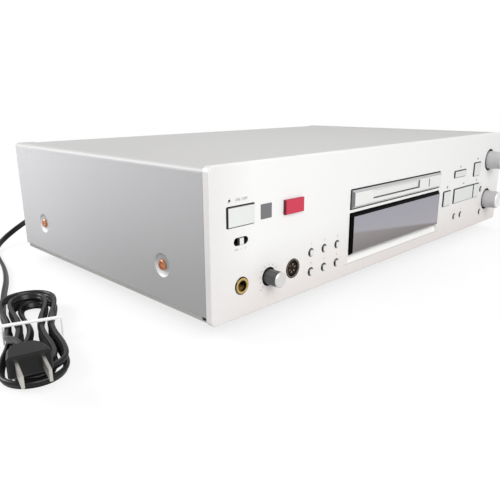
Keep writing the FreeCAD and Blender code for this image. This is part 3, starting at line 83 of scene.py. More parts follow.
# Sizes of the print: the dials' marks run clockwise from the start angle, in degrees
SIGN_HALF = 1.1 * MM
SIGN_RISE = 1.9 * MM
DIAL_MARKS = 11
DIAL_START = 225
DIAL_SWEEP = 270
DIAL_REACH = {"rec_level_knob": 13.4 * MM, "level_knob": 8.2 * MM}
DIAL_NUMBER = 2.4 * MM

# Colours that several finishes share
# Painted shade: near-black standing for the shade inside the openings, on the faceplate's inner walls and on
# the keys' sides within them
PAINTED_OPENING_SHADE = (0.022, 0.021, 0.023)
KNOB_FRONT = (0.80, 0.80, 0.79)
# Painted shade: the silver knobs' sides, painted darker than their silver fronts
KNOB_SIDE_SHADE = (0.56, 0.55, 0.56)
PRINT_GREY = (0.16, 0.16, 0.17)

KEYS = ["power_button", "eject_button", "record_button", "stop_button", "play_button", "pause_button"]
KEYS += ["left_button_%d" % k for k in range(1, 7)] + ["round_button_%d" % k for k in range(1, 5)]

# Camera fitted to the photograph: place in metres, angles in degrees, focal length in millimetres
CAMERA_PLACE = (-0.4035, -0.3490, 0.1429)
CAMERA_TURN = 44.99
CAMERA_DOWN = 15.97
CAMERA_ROLL = -0.26
CAMERA_LENS = 37.82

# Route of the mains cord in millimetres, as in the part's source
LEAD = [(-160, 142, 45), (-160, 159, 45), (-162.6, 178, 39.5), (-172, 193.5, 30.5), (-188, 202, 20),
        (-206, 201, 10.5), (-221, 191, 4.5), (-231, 174, 2.8), (-238, 147, 2.7), (-246, 112, 2.7),
        (-258, 76, 2.7), (-273.5, 42, 2.7)]
HANK_CENTRE = (-287.0, -42.0)
HANK_AXIS = 248.8
HANK_HALF = 46.0
HANK_INNER = 6.4
HANK_STEP = 2.95
HANK_WAIST = 1.6
HANK_WAIST_STEP = 3.0
HANK_FLOOR = 2.7
HANK_LAYER = 5.8
HANK_RUNS = 9
TAIL = [(15, 14.4, 8.8), (26, 13.7, 14.1)]
PLUG_ALONG = 50.0
PLUG_ACROSS = 5.5
PLUG_Z = 17.5
PLUG_TURN = 8.0
PLUG_BODY = 21.0
CORE_POINTS = 9

FLOOR_HALF = 4.0


class DeckFinish(bpy.types.PropertyGroup):
    """Colours and finishes of the deck."""
    silver: bpy.props.FloatVectorProperty(
        name="Faceplate", description="Colour of the silver faceplate", subtype="COLOR", size=3,
        default=(0.80, 0.80, 0.79), min=0, max=1)
    cover: bpy.props.FloatVectorProperty(
        name="Cover", description="Colour of the painted steel cover", subtype="COLOR", size=3,
        default=(0.56, 0.56, 0.575), min=0, max=1)
    glass: bpy.props.FloatVectorProperty(
        name="Display window", description="Colour of the smoked display window", subtype="COLOR", size=3,
        default=(0.335, 0.325, 0.355), min=0, max=1)
    badge: bpy.props.FloatVectorProperty(
        name="Badge plate", description="Colour of the plain badge plate", subtype="COLOR", size=3,
        default=(0.52, 0.040, 0.075), min=0, max=1)
    grain: bpy.props.FloatProperty(
        name="Cover texture", description="Size of the cover paint's fine bumps", subtype="DISTANCE",
        default=0.0006, min=0.0001, max=0.005)


class DeckCord(bpy.types.PropertyGroup):
    """Section of the flat mains cord."""
    width: bpy.props.FloatProperty(
        name="Width", description="Width of the flat cord", subtype="DISTANCE",
        default=0.0052, min=0.001, max=0.02)
    thickness: bpy.props.FloatProperty(
        name="Thickness", description="Thickness of one core", subtype="DISTANCE",
        default=0.0029, min=0.001, max=0.02)
    tilt: bpy.props.FloatProperty(
        name="Tilt", description="Turn of the wide side from level", subtype="ANGLE",
        default=math.radians(62), min=0, max=math.pi)


class DeckStudio(bpy.types.PropertyGroup):
    """Studio around the deck."""
    key: bpy.props.FloatProperty(
        name="Key light", description="Power of the light on the faceplate", subtype="POWER",
        default=16.0, min=0)
    top: bpy.props.FloatProperty(
        name="Top light", description="Power of the light overhead", subtype="POWER", default=5.0, min=0)
    side: bpy.props.FloatProperty(
        name="Side light", description="Power of the light on the left side", subtype="POWER",
        default=6.5, min=0)
    world: bpy.props.FloatProperty(
        name="World", description="Strength of the even light from all round", default=0.55, min=0)


class Wire:
    """Socket of a shader tree that takes part in arithmetic."""

    def __init__(self, tree, socket):
        self.tree = tree
        self.socket = socket

    def math(self, operation, *values):
        """Result of one Math node on this wire and the values."""
        node = self.tree.nodes.new("ShaderNodeMath")
        node.operation = operation
        for entry, value in zip(node.inputs, (self,) + values):
            join(self.tree, entry, value)
        return Wire(self.tree, node.outputs[0])

    def __add__(self, other):
        return self.math("ADD", other)

    def __sub__(self, other):
        return self.math("SUBTRACT", other)

    def __mul__(self, other):
        return self.math("MULTIPLY", other)

    def __truediv__(self, other):
        return self.math("DIVIDE", other)

    def __neg__(self):
        return self * -1.0

    def __rsub__(self, other):
        return -self + other

    __radd__ = __add__
    __rmul__ = __mul__

    def clamp(self):
        """The value held between 0 and 1."""
        return self.math("MAXIMUM", 0.0).math("MINIMUM", 1.0)

    def ramp(self, low, high):
        """0 at low and before it, 1 at high and beyond it; low may be the larger of the two."""
        return ((self - low) / (high - low)).clamp()


def join(tree, entry, value):
    """Link a wire to an input, or set the input to a plain value."""
    if isinstance(value, Wire):
        tree.links.new(value.socket, entry)
    else:
        entry.default_value = value


class Surface:
    """Material being made; one method adds any node and feeds its inputs."""

    def __init__(self, name):
        self.material = bpy.data.materials.new(name)
        self.material.use_nodes = True
        self.tree = self.material.node_tree
        self.tree.nodes.clear()
        self.coordinates = None

    def node(self, kind, feeds=None, output=0, **settings):
        """New node with its inputs fed; gives back the named output."""
        node = self.tree.nodes.new("ShaderNode" + kind)
        for key, value in settings.items():
            setattr(node, key, value)
        for key, value in (feeds or {}).items():
            join(self.tree, node.inputs[key], value)
        return Wire(self.tree, node.outputs[output]) if node.outputs else None

    def place(self):
        """Object coordinates in metres, as three wires."""
        if self.coordinates is None:
            spot = self.node("TexCoord", output="Object")
            split = self.tree.nodes.new("ShaderNodeSeparateXYZ")
            self.tree.links.new(spot.socket, split.inputs[0])
            self.coordinates = [spot] + [Wire(self.tree, out) for out in split.outputs]
        return self.coordinates

    def noise(self, scale, detail=3.0, roughness=0.5):
        """Noise between 0 and 1; the scale is in features per metre."""
        return self.node("TexNoise", {"Vector": self.place()[0], "Scale": scale, "Detail": detail,
                                      "Roughness": roughness})

    def mix(self, factor, first, second):
        """Blend of two colours."""
        node = self.tree.nodes.new("ShaderNodeMix")
        node.data_type = "RGBA"
        join(self.tree, node.inputs[0], factor)
        join(self.tree, node.inputs[6], first if isinstance(first, Wire) else (*first, 1))
        join(self.tree, node.inputs[7], second if isinstance(second, Wire) else (*second, 1))
        return Wire(self.tree, node.outputs[2])

    def facing(self):
        """How far the surface faces along X, Y and Z, as three wires."""
        split = self.tree.nodes.new("ShaderNodeSeparateXYZ")
        self.tree.links.new(self.node("TexCoord", output="Normal").socket, split.inputs[0])
        return [Wire(self.tree, out) for out in split.outputs]

    def shaded(self, tone, dark, up=0.35):
        """The tone with painted shade on its left sides, and on its upper sides by a share."""
        across, deep, high = self.facing()
        tone = self.mix((-across).ramp(*FACING), tone, dark)
        return self.mix(high.ramp(*FACING) * up, tone, dark)

    def grain(self, strength):
        """Normal of fine paint grain."""
        return self.bump(self.noise(GRAIN_SCALE, 2.0), GRAIN_DEPTH, strength)

    def bump(self, height, distance, strength=1.0):
        """Normal from a height wire."""
        return self.node("Bump", {"Height": height, "Distance": distance, "Strength": strength})

    def shader(self, colour, roughness=0.5, metallic=0.0, normal=None, **others):
        """Principled shader; an input without a name of its own here is given with underscores."""
        feeds = {"Base Color": colour if isinstance(colour, Wire) else (*colour, 1), "Roughness": roughness,
                 "Metallic": metallic}
        if normal is not None:
            feeds["Normal"] = normal
        feeds.update({key.replace("_", " "): value for key, value in others.items()})
        return self.node("BsdfPrincipled", feeds)

    def close(self, shader):
        """Close the tree with a shader; gives back the material."""
        self.node("OutputMaterial", {"Surface": shader})
        return self.material

    def finish(self, *looks, **others):
        """Close the tree with a Principled shader."""
        return self.close(self.shader(*looks, **others))

    def finish_glossed(self, mask, first, second, *looks):
        """Close the tree with two Principled shaders that differ in gloss, the second where the mask is 1."""
        shaders = [self.shader(*looks, Specular_IOR_Level=gloss) for gloss in (first, second)]
        return self.close(self.node("MixShader", {0: mask, 1: shaders[0], 2: shaders[1]}))


def dress(material, *nodes):
    """Give CAD nodes a material in place of the one they came with."""
    for name in nodes:
        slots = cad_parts[name].data.materials
        for index in range(len(slots)):
            slots[index] = material
        if not slots:
            slots.append(material)


def piece(name, points, faces, material, smooth=False):
    """New mesh piece at the origin."""
    mesh = bpy.data.meshes.new(name)
    mesh.from_pydata(points, [], faces)
    mesh.validate()
    mesh.materials.append(material)
    if smooth:
        mesh.polygons.foreach_set("use_smooth", [True] * len(mesh.polygons))
    body = bpy.data.objects.new(name, mesh)
    bpy.context.collection.objects.link(body)
    return body


def block(x0, x1, z0, z1):
    """Corners of a flat block."""
    return [(x0, z0), (x1, z0), (x1, z1), (x0, z1)]


def scaled(colour, *shares):
    """Colour with each part multiplied by its share, or all by one."""
    return [c * share for c, share in zip(colour, shares * 3 if len(shares) == 1 else shares)]


def plain(name, colour, roughness=0.5, metallic=0.0, **others):
    """Material of one colour."""
    return Surface(name).finish(colour, roughness, metallic, **others)


class OBJECT_OT_deck_front(bpy.types.Operator):
    """Finish the faceplate, the keys, the knobs and the small fittings"""
    bl_idname = "object.deck_front"
    bl_label = "Front finishes"

    def execute(self, context):
        finish = context.scene.deck_finish
        silver = tuple(finish.silver)
        dress(faceplate_finish(silver), "front_panel")
        dress(key_finish(silver), *KEYS)
        dress(bezel_finish(silver), "slot_bezel")
        dress(door_finish(scaled(silver, 0.92)), "slot_door")
        dress(window_finish(tuple(finish.glass)), "display_window")
        dress(badge_finish(tuple(finish.badge)), "badge_plate")
        dress(plain("sensor_smoke", (0.15, 0.145, 0.15), 0.3), "sensor_window")
        dress(lamp_finish(silver), "standby_lamp")
        dress(lever_finish(silver), "timer_slider")
        dress(plain("timer_black", (0.012, 0.012, 0.012), 0.5), "timer_switch")
        dress(jack_finish(), "headphone_jack")
        dress(socket_finish(), "keyboard_socket")
        for name in ("jog_knob", "rec_level_knob"):
            dress(knob_finish(name, KNOB_RIBS, KNOB_FRONT, KNOB_SIDE_SHADE), name)
        dress(knob_finish("level_knob", 0, (0.66, 0.655, 0.65), (0.085, 0.085, 0.09)), "level_knob")
        return {"FINISHED"}


def faceplate_finish(silver):
    """Silver paint, darker and warmer low down and towards the left edge; painted shade in the openings and
    along the display well's bottom edge, and painted light on the sill below the display.
    """
    surface = Surface("faceplate_silver")
    spot, x, y, z = surface.place()
    tone = surface.mix(surface.noise(9.0), scaled(silver, 0.98), silver)
    tone = surface.mix(z.ramp(BASE, BASE + 0.045), scaled(silver, 0.90, 0.845, 0.83), tone)
    tone = surface.mix(x.ramp(LEFT, LEFT + 0.035), scaled(silver, 0.88, 0.86, 0.86), tone)
    rim = (x - LEFT).math("MINIMUM", RIGHT - x)
    rim = rim.math("MINIMUM", z - BASE).math("MINIMUM", TOP - z)
    inside = y.ramp(FRONT + EDGE, FRONT + 3 * EDGE) * rim.ramp(RIM_WALL, RIM_WALL + EDGE)
    low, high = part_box("display_window")
    beside = x.ramp(low[0] - 0.002, low[0] - 0.001) * x.ramp(high[0] + 0.002, high[0] + 0.001)
    sill = z.ramp(low[2] + 0.0012, low[2] + 0.0008) * z.ramp(low[2] - 0.012, low[2] - 0.011) * beside
    # Painted shade: the faceplate's walls inside the openings are painted near-black
    tone = surface.mix(inside * (1 - sill), tone, PAINTED_OPENING_SHADE)
    # Painted light: the sill below the display, which faces up, is painted near-white
    tone = surface.mix(inside * sill * 0.8, tone, (0.95, 0.95, 0.94))
    # Painted shade: a darker line on the face along the display well's bottom edge
    painted_crease_shade = (z - (BASE + WELL_BOTTOM)).math("ABSOLUTE").ramp(0.0004, 0.0001) * beside
    painted_crease_shade = painted_crease_shade * (1 - inside)
    tone = surface.mix(painted_crease_shade * 0.55, tone, scaled(silver, 0.45))
    return surface.finish(tone, 0.42, 0.12, surface.grain(0.25))


def key_finish(silver):
    """Silver keys with painted shade on their left and upper sides, and near-black painted shade where they
    sit behind the faceplate's front.
    """
    surface = Surface("key_silver")
    spot, x, y, z = surface.place()
    # Painted shade on the left sides and, by a large share, on the upper sides
    tone = surface.shaded(scaled(silver, 0.87, 0.885, 0.88), (0.03, 0.028, 0.034), 0.8)
    # Painted shade on the keys' surfaces behind the faceplate's front
    tone = surface.mix(y.ramp(FRONT, FRONT + 0.0003), tone, PAINTED_OPENING_SHADE)
    return surface.finish(tone, 0.36, 0.12, surface.grain(0.2))


def bezel_finish(silver):
    """Silver bezel with painted shade on its left and upper bevels, and a near-black tunnel behind its face
    that is painted shade.
    """
    surface = Surface("bezel_silver")
    spot, x, y, z = surface.place()
    # Painted shade on the left bevels and, by half, on the upper ones
    tone = surface.shaded(scaled(silver, 0.93), (0.16, 0.16, 0.165), 0.5)
    # Painted shade: the tunnel behind the bezel's face is painted near-black
    tone = surface.mix(y.ramp(FRONT - EDGE, FRONT + EDGE), tone, (0.05, 0.05, 0.05))
    return surface.finish(tone, 0.36, 0.12, surface.grain(0.2))


def door_finish(colour):
    """Silver flap with a faint drift in tone."""
    surface = Surface("door_silver")
    tone = surface.mix(surface.noise(14.0), scaled(colour, 0.97), scaled(colour, 1.02))
    return surface.finish(tone, 0.4, 0.12, surface.grain(0.25))


def window_finish(glass):
    """Smoked acrylic: lilac-grey face, partly a painted reflection of the white studio, with a brown lower
    wedge of painted reflection; black bevels left and above and black sides behind the face, as painted
    shade.
    """
    surface = Surface("window_smoke")
    spot, x, y, z = surface.place()
    low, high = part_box("display_window")
    across = (x - low[0]) / (high[0] - low[0])
    up = (z - low[2]) / (high[2] - low[2])
    # Painted reflection: a brown wedge over the lower left of the face
    wedge = (0.58 - across * 0.52 - up).ramp(-0.04, 0.03)
    brown = surface.mix(up.ramp(0.0, 0.6), scaled(glass, 0.50, 0.46, 0.43), scaled(glass, 0.78, 0.74, 0.68))
    # Painted reflection: the face grows darker and bluer towards the top
    sky_reflection = surface.mix(up.ramp(0.1, 1.0), glass, scaled(glass, 0.86, 0.86, 0.89))
    aside, deep, upward = surface.facing()
    # Painted shade: black on the left and upper bevels and on the sides behind the face
    black = (-aside).ramp(*FACING).math("MAXIMUM", upward.ramp(*FACING))
    black = black.math("MAXIMUM", y.ramp(FRONT + 0.0003, FRONT + 0.0006))
    tone = surface.mix(black, surface.mix(wedge, sky_reflection, brown), (0.003, 0.003, 0.003))
    return surface.finish_glossed(black, 0.3, 0.03, tone, 0.16)


def badge_finish(red):
    """Plain red plate with painted shade on its left side and, by a share, on its upper side."""
    surface = Surface("badge_red")
    # Painted shade on the left side and, by a share, on the upper side
    tone = surface.shaded(red, scaled(red, 0.28), 0.3)
    return surface.finish(tone, 0.45, Specular_IOR_Level=0.25)


def lever_finish(silver):
    """Silver lever on a black slide, with painted shade on the lever's left and upper sides."""
    surface = Surface("lever_silver")
    spot, x, y, z = surface.place()
    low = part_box("timer_slider")[0]
    behind = y.ramp(low[1] + 0.0018, low[1] + 0.0018 + EDGE)
    # Painted shade on the lever's left sides and, by half, on its upper sides
    tip = surface.shaded(scaled(silver, 0.9), (0.10, 0.10, 0.10), 0.5)
    tone = surface.mix(behind, tip, (0.006, 0.006, 0.006))
    return surface.finish_glossed(behind, 0.5, 0.1, tone, 0.4, 0.1)


def lamp_finish(silver):
    """Small dark lens in a silver ring."""
    surface = Surface("lamp_lens")
    distance = disc_distance(surface, "standby_lamp")[0]
    ring = distance.ramp(LENS_RADIUS, LENS_RADIUS + EDGE)
    return surface.finish(surface.mix(ring, (0.05, 0.04, 0.04), silver), 0.3)


def disc_distance(surface, node):
    """Distance from a round node's axis, its parts across and up, and the depth, in metres."""
    spot, x, y, z = surface.place()
    low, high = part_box(node)
    across = x - (low[0] + high[0]) / 2
    up = z - (low[2] + high[2]) / 2
    return (across * across + up * up).math("SQRT"), across, up, y


def jack_finish():
    """Gold ring between a dark edge and a black bore with gold deep inside it; the dark edge, the bore and
    the walls behind the front are painted shade.
    """
    surface = Surface("jack_gold")
    distance, across, up, y = disc_distance(surface, "headphone_jack")
    behind = y.math("GREATER_THAN", FRONT + 0.001)
    # Painted shade: near-black in the gap round the ring, in the bore and on the walls behind the front
    dark = distance.ramp(JACK_RIM, JACK_RIM + EDGE)
    dark = dark.math("MAXIMUM", distance.ramp(JACK_BORE + EDGE, JACK_BORE)).math("MAXIMUM", behind)
    tone = surface.mix(dark, (0.72, 0.50, 0.17), (0.010, 0.008, 0.005))
    tone = surface.mix(behind * up.ramp(-0.0005, -0.0025), tone, (0.30, 0.19, 0.05))
    return surface.finish(tone, 0.25, (1 - dark) * 0.85)


def socket_finish():
    """Brown and plated rings round a dark core."""
    surface = Surface("socket_plated")
    distance, across, up, y = disc_distance(surface, "keyboard_socket")
    ring = distance.ramp(SOCKET_CORE, SOCKET_CORE + EDGE) * distance.ramp(SOCKET_EDGE + EDGE, SOCKET_EDGE)
    pins = (distance - SOCKET_PINS).math("ABSOLUTE").ramp(0.0008, 0.0006)
    pins = pins * (up.math("ARCTAN2", across) * 6.0).math("SINE").ramp(0.2, 0.5)
    shine = ring.math("MAXIMUM", pins * 0.7) * y.math("LESS_THAN", FRONT + 0.0008)
    tone = surface.mix(shine, (0.010, 0.007, 0.006), (0.40, 0.31, 0.24))
    return surface.finish_glossed(shine, 0.12, 0.47, tone, 0.35, shine * 0.6)


def knob_finish(node, teeth, front, side):
    """Ribbed side with a brighter front; on the silver knobs the darker side is painted shade, and every knob
    gets near-black painted shade where it meets the faceplate; plain round where it has no teeth.
    """
    surface = Surface(node + "_silver")
    distance, across, up, y = disc_distance(surface, node)
    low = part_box(node)[0]
    behind = y.ramp(low[1] + 0.0006, low[1] + 0.0012)
    # The side colour: on the silver knobs a painted shade of the front's silver
    tone = surface.mix(behind, front, side)
    # Painted shade: near-black where the knob meets the faceplate and behind it
    tone = surface.mix(y.ramp(FRONT - 0.0004, FRONT + 0.0006), tone, (0.02, 0.02, 0.02))
    if not teeth:
        return surface.finish(tone, 0.34, 0.35)
    wave = (up.math("ARCTAN2", across) * float(teeth)).math("SINE")
    normal = surface.bump(wave * behind * y.math("LESS_THAN", FRONT - 0.0005), 0.00022, 0.5)
    return surface.finish(tone, 0.36, 0.2, normal)


class OBJECT_OT_deck_print(bpy.types.Operator):
    """Print plain numbers, dial marks and generic key signs on the faceplate"""
    bl_idname = "object.deck_print"
    bl_label = "Print"

    def execute(self, context):
        ink = plain("print_grey", PRINT_GREY, 0.6)
        points, faces = [], []

        def add(outline):
            first = len(points)
            points.extend(outline)
            faces.append(range(first, first + len(outline)))

        def flat(x, z):
            return Vector((x, FRONT - PRINT_LIFT, z))

        def bar(x, z, width, height, turn=0.0):
            c, s = math.cos(turn), math.sin(turn)
            corners = block(-width / 2, width / 2, -height / 2, height / 2)
            add([flat(x + a * c - b * s, z + a * s + b * c) for a, b in corners])

        def shape(x, z, outline):
            add([flat(x + a, z + b) for a, b in outline])

        def words(text, x, z, size):
            curve = bpy.data.curves.new("print_text", "FONT")
            curve.body = text
            curve.size = size
            curve.align_x = "CENTER"
            curve.resolution_u = 3
            holder = bpy.data.objects.new("print_text", curve)
            bpy.context.collection.objects.link(holder)
            bpy.context.view_layer.update()
            graph = bpy.context.evaluated_depsgraph_get()
            mesh = bpy.data.meshes.new_from_object(holder.evaluated_get(graph))
            first = len(points)
            points.extend(flat(x + v.co.x, z + v.co.y) for v in mesh.vertices)
            faces.extend([first + k for k in polygon.vertices] for polygon in mesh.polygons)
            bpy.data.objects.remove(holder)
            bpy.data.curves.remove(curve)
            bpy.data.meshes.remove(mesh)

        def left(x):
            return LEFT + x * MM

        def high(z):
            return BASE + z * MM

        def middle(node):
            low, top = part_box(node)
            return (low[0] + top[0]) / 2, top[2]

        words("ON / OFF", left(25.5), high(74.6), 2.4 * MM)
        for k, mark in enumerate(("OFF", "1", "2")):
            words(mark, left(24.8 + (k - 1) * 3.9), high(44.2), 1.7 * MM)
        for k in range(1, 7):
            x, top = middle("left_button_%d" % k)
            words(str(k), x, top + 1.1 * MM, 2.2 * MM)
        for k in range(1, 5):
            x, top = middle("round_button_%d" % k)
            words(str(k + 6), x, top + 0.7 * MM, 2.0 * MM)
        sixteenths = [math.tau * k / 16 for k in range(16)]
        signs = {"stop_button": [block(-1, 1, -1, 1)],
                 "play_button": [[(-1, -1.1), (1.1, 0), (-1, 1.1)]],
                 "pause_button": [block(-1, -0.3, -1, 1), block(0.3, 1, -1, 1)],
                 "eject_button": [[(-1.1, -0.3), (1.1, -0.3), (0, 1.1)], block(-1.1, 1.1, -1.1, -0.6)],
                 "record_button": [[(math.cos(angle), math.sin(angle)) for angle in sixteenths]]}
        for node, outlines in signs.items():
            x, top = middle(node)
            for outline in outlines:
                shape(x, top + SIGN_RISE, [(a * SIGN_HALF, b * SIGN_HALF) for a, b in outline])
        for node, reach in DIAL_REACH.items():
            low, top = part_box(node)
            x, z = (low[0] + top[0]) / 2, (low[2] + top[2]) / 2
            for k in range(DIAL_MARKS):
                angle = math.radians(DIAL_START - DIAL_SWEEP * k / (DIAL_MARKS - 1))
                bar(x + reach * math.cos(angle), z + reach * math.sin(angle), 1.3 * MM, 0.3 * MM, angle)
            for mark, angle in (("0", DIAL_START), ("10", DIAL_START - DIAL_SWEEP)):
                angle = math.radians(angle)
                away = reach + DIAL_NUMBER
                words(mark, x + away * math.cos(angle), z + away * math.sin(angle) - 0.8 * MM, 2.0 * MM)
        made = piece("face_print", points, faces, ink)
        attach(made, "chassis")
        return {"FINISHED"}


class OBJECT_OT_deck_case(bpy.types.Operator):
    """Finish the cover, the pan, the rear panel, the feet, the screws and the jacks"""
    bl_idname = "object.deck_case"
    bl_label = "Case finishes"

    def execute(self, context):
        finish = context.scene.deck_finish
        dress(cover_finish(tuple(finish.cover), finish.grain), "top_cover")
        dress(plain("pan_steel", (0.50, 0.50, 0.48), 0.42, 0.7), "chassis_pan")
        dress(rear_finish(), "rear_panel")
        dress(plain("foot_black", (0.035, 0.035, 0.036), 0.6), "feet")
        dress(plain("screw_copper", (0.62, 0.27, 0.13), 0.32, 0.75), "cover_screws", "rear_screws")
        dress(plain("jack_plated", (0.60, 0.55, 0.42), 0.3, 0.8), "line_jacks")
        dress(plain("socket_black", (0.02, 0.02, 0.02), 0.35), "optical_sockets")
        dress(plain("bushing_black", (0.025, 0.025, 0.025), 0.5), "cord_bushing")
        return {"FINISHED"}


def cover_finish(colour, grain):
    """Silver-grey paint with painted shade making its sides darker towards the lower front, a top painted
    darker and warmer as shade, dimples with painted highlight and shade, smudges and a few rubs.
    """
    surface = Surface("cover_paint")
    spot, x, y, z = surface.place()
    low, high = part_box("top_cover")
    speck = surface.noise(1 / grain, 2.0)
    tone = surface.mix(speck.ramp(0.30, 0.70), scaled(colour, 0.96), scaled(colour, 1.05))
    # Painted shade: the sides grow darker towards the lower front
    painted_side_shade = y.ramp(high[1] - 0.03, low[1]) * 0.55 + z.ramp(high[2] - 0.01, low[2]) * 0.45
    painted_side_shade = painted_side_shade * z.ramp(high[2], high[2] - 0.004)
    tone = surface.mix(painted_side_shade, tone, scaled(colour, 0.58, 0.575, 0.57))
    # Painted shade: the top is painted darker and warmer than the sides
    tone = surface.mix(z.ramp(high[2] - 0.004, high[2] - 0.001), tone, scaled(colour, 0.90, 0.89, 0.86))
    smudge = surface.noise(26.0, 5.0, 0.6).ramp(0.58, 0.72) * z.ramp(high[2] - 0.003, high[2])
    tone = surface.mix(smudge * 0.35, tone, scaled(colour, 0.80, 0.79, 0.74))
    rub = surface.noise(150.0, 6.0, 0.7).ramp(0.60, 0.66) * z.ramp(high[2] - 0.016, high[2] - 0.010)
    rub = rub * z.ramp(high[2] - 0.002, high[2] - 0.005) * y.ramp(high[1] - 0.100, high[1] - 0.050)
    tone = surface.mix(rub * 0.45, tone, scaled(colour, 0.62, 0.62, 0.64))
    for screw in (low[1] + SCREW_INSET[0], high[1] - SCREW_INSET[1]):
        along, up = y - screw, z - (BASE + SCREW_HEIGHT)
        reach = (along * along + up * up).math("SQRT")
        bowl = reach.ramp(DIMPLE_RADIUS, DIMPLE_RADIUS - DIMPLE_LIP)
        bowl = bowl * x.math("ABSOLUTE").ramp(RIGHT - 0.003, RIGHT - 0.002)
        slope = (along * 0.4 - up) / reach.math("MAXIMUM", 0.001)
        # Painted highlight on one slope of each dimple and painted shade on the other
        tone = surface.mix(bowl * slope.ramp(0.0, 1.0) * 0.6, tone, scaled(colour, 1.8))
        tone = surface.mix(bowl * slope.ramp(0.0, -1.0) * 0.55, tone, scaled(colour, 0.45))
    return surface.finish(tone, 0.5, 0.1, surface.bump(speck, 0.00006, 0.4))


def rear_finish():
    """Rear panel: bare plated steel with a faint drift in tone."""
    surface = Surface("rear_steel")
    tone = surface.mix(surface.noise(8.0), (0.40, 0.40, 0.385), (0.48, 0.48, 0.465))
    return surface.finish(tone, 0.4, 0.55)


class OBJECT_OT_deck_inside(bpy.types.Operator):
    """Finish the loader, the boards and the other pieces inside"""
    bl_idname = "object.deck_inside"
    bl_label = "Inside finishes"

    def execute(self, context):
        steel = plain("plated_sheet", (0.55, 0.55, 0.53), 0.35, 0.85)
        dress(steel, "loader_chassis", "cartridge_holder", "cam_slide")
        dress(plain("ground_steel", (0.62, 0.62, 0.63), 0.15, 1.0), "guide_rods", "feed_screw")
        dress(plain("turned_alloy", (0.68, 0.68, 0.69), 0.25, 0.95), "turntable")
        can = plain("control_can", (0.45, 0.45, 0.44), 0.35, 0.8)
        dress(can, "level_pot", "jog_encoder", "rec_level_pot", "jog_plunger", "spindle_motor")
        dress(plain("sled_black", (0.03, 0.03, 0.032), 0.45), "pickup_sled")
        dress(board_finish(), "main_board", "display_board")
        dress(plain("core_varnish", (0.10, 0.085, 0.07), 0.45, 0.3), "power_transformer")
        dress(plain("tube_glass", (0.03, 0.035, 0.04), 0.08), "display_tube")
        return {"FINISHED"}


def board_finish():
    """Green board with a faint drift in tone."""
    surface = Surface("board_green")
    return surface.finish(surface.mix(surface.noise(90.0), (0.02, 0.11, 0.05), (0.03, 0.16, 0.07)), 0.4)


def hank_place(along, across, z):
    """Place in metres from the hank's own directions in millimetres."""
    a = math.radians(HANK_AXIS)
    x = HANK_CENTRE[0] + along * math.cos(a) + across * math.sin(a)
    y = HANK_CENTRE[1] + along * math.sin(a) - across * math.cos(a)
    return Vector((x, y, z)) * MM


def plug_place(along):
    """Place on the plug's axis in metres, measured in millimetres from its cord end."""
    a = math.radians(HANK_AXIS + PLUG_TURN)
    return hank_place(PLUG_ALONG, PLUG_ACROSS, PLUG_Z) + Vector((math.cos(a), math.sin(a), 0)) * along * MM


def cord_route():
    """Control points of the whole cord: lead, hank and tail.

    The hank's runs go to and fro along its axis. The middle run lies nearest the axis, each run further
    from it is a step wider at the ends and at the waist, and runs past the middle lie a layer higher. Each
    turn is half a round whose four points stand outside it, so that the smooth line follows its radius.
    """
    route = [Vector(point) * MM for point in LEAD]
    middle = (HANK_RUNS - 1) // 2
    for run in range(HANK_RUNS):
        way = 1 if run % 2 == 0 else -1
        level = abs(run - middle)
        width = way * (HANK_INNER + HANK_STEP * level)
        waist = way * (HANK_WAIST + HANK_WAIST_STEP * level)
        z0 = HANK_FLOOR + (HANK_LAYER if run > middle else 0)
        z1 = HANK_FLOOR + (HANK_LAYER if run >= middle else 0)
        stretch = [(-0.75, width, z0), (-0.25, waist, z0 + 0.25 * (z1 - z0))]
        if run < HANK_RUNS - 1:
            stretch += [(0.25, waist, z0 + 0.75 * (z1 - z0)), (0.75, width, z1)]
        route += [hank_place(way * share * HANK_HALF, across, z) for share, across, z in stretch]
        if run < HANK_RUNS - 1:
            after = way * (HANK_INNER + HANK_STEP * abs(run + 1 - middle))
            radius = abs(width + after) / 2
            centre = (width - after) / 2
            for angle in (67.5, 22.5, -22.5, -67.5):
                reach = radius / math.cos(math.radians(22.5))
                route.append(hank_place(way * (HANK_HALF + reach * math.cos(math.radians(angle))),
                                        centre + way * reach * math.sin(math.radians(angle)), z1))
    route += [hank_place(*point) for point in TAIL]
    route += [plug_place(-10), plug_place(0)]
    return route


def smooth_line(route):
    """Points of the route's NURBS line of order 3, as an array, without doubles."""
    curve = bpy.data.curves.new("route", "CURVE")
    curve.dimensions = "3D"
    curve.resolution_u = 8
    spline = curve.splines.new("NURBS")
    spline.points.add(len(route) - 1)
    for point, place in zip(spline.points, route):
        point.co = (*place, 1)
    spline.order_u = 3
    spline.use_endpoint_u = True
    holder = bpy.data.objects.new("route", curve)
    bpy.context.collection.objects.link(holder)
    bpy.context.view_layer.update()
    mesh = bpy.data.meshes.new_from_object(holder)
    line = np.empty(3 * len(mesh.vertices))
    mesh.vertices.foreach_get("co", line)
    line = line.reshape(-1, 3)
    bpy.data.objects.remove(holder)
    bpy.data.curves.remove(curve)
    bpy.data.meshes.remove(mesh)
    return line[np.append(True, step_lengths(line) > 1e-6)]


def step_lengths(line):
    """Distance from each point of a line to the next."""
    return np.linalg.norm(np.diff(line, axis=0), axis=1)


def two_core_section(width, thickness):
    """Outline of two round cores with a groove between them: an arc of 240 degrees, and its point mirror."""
    radius = thickness / 2
    angle = np.radians(np.linspace(-120, 120, CORE_POINTS))
    core = np.stack([width / 2 - radius + radius * np.cos(angle), radius * np.sin(angle)], axis=1)
    return np.concatenate([core, -core])


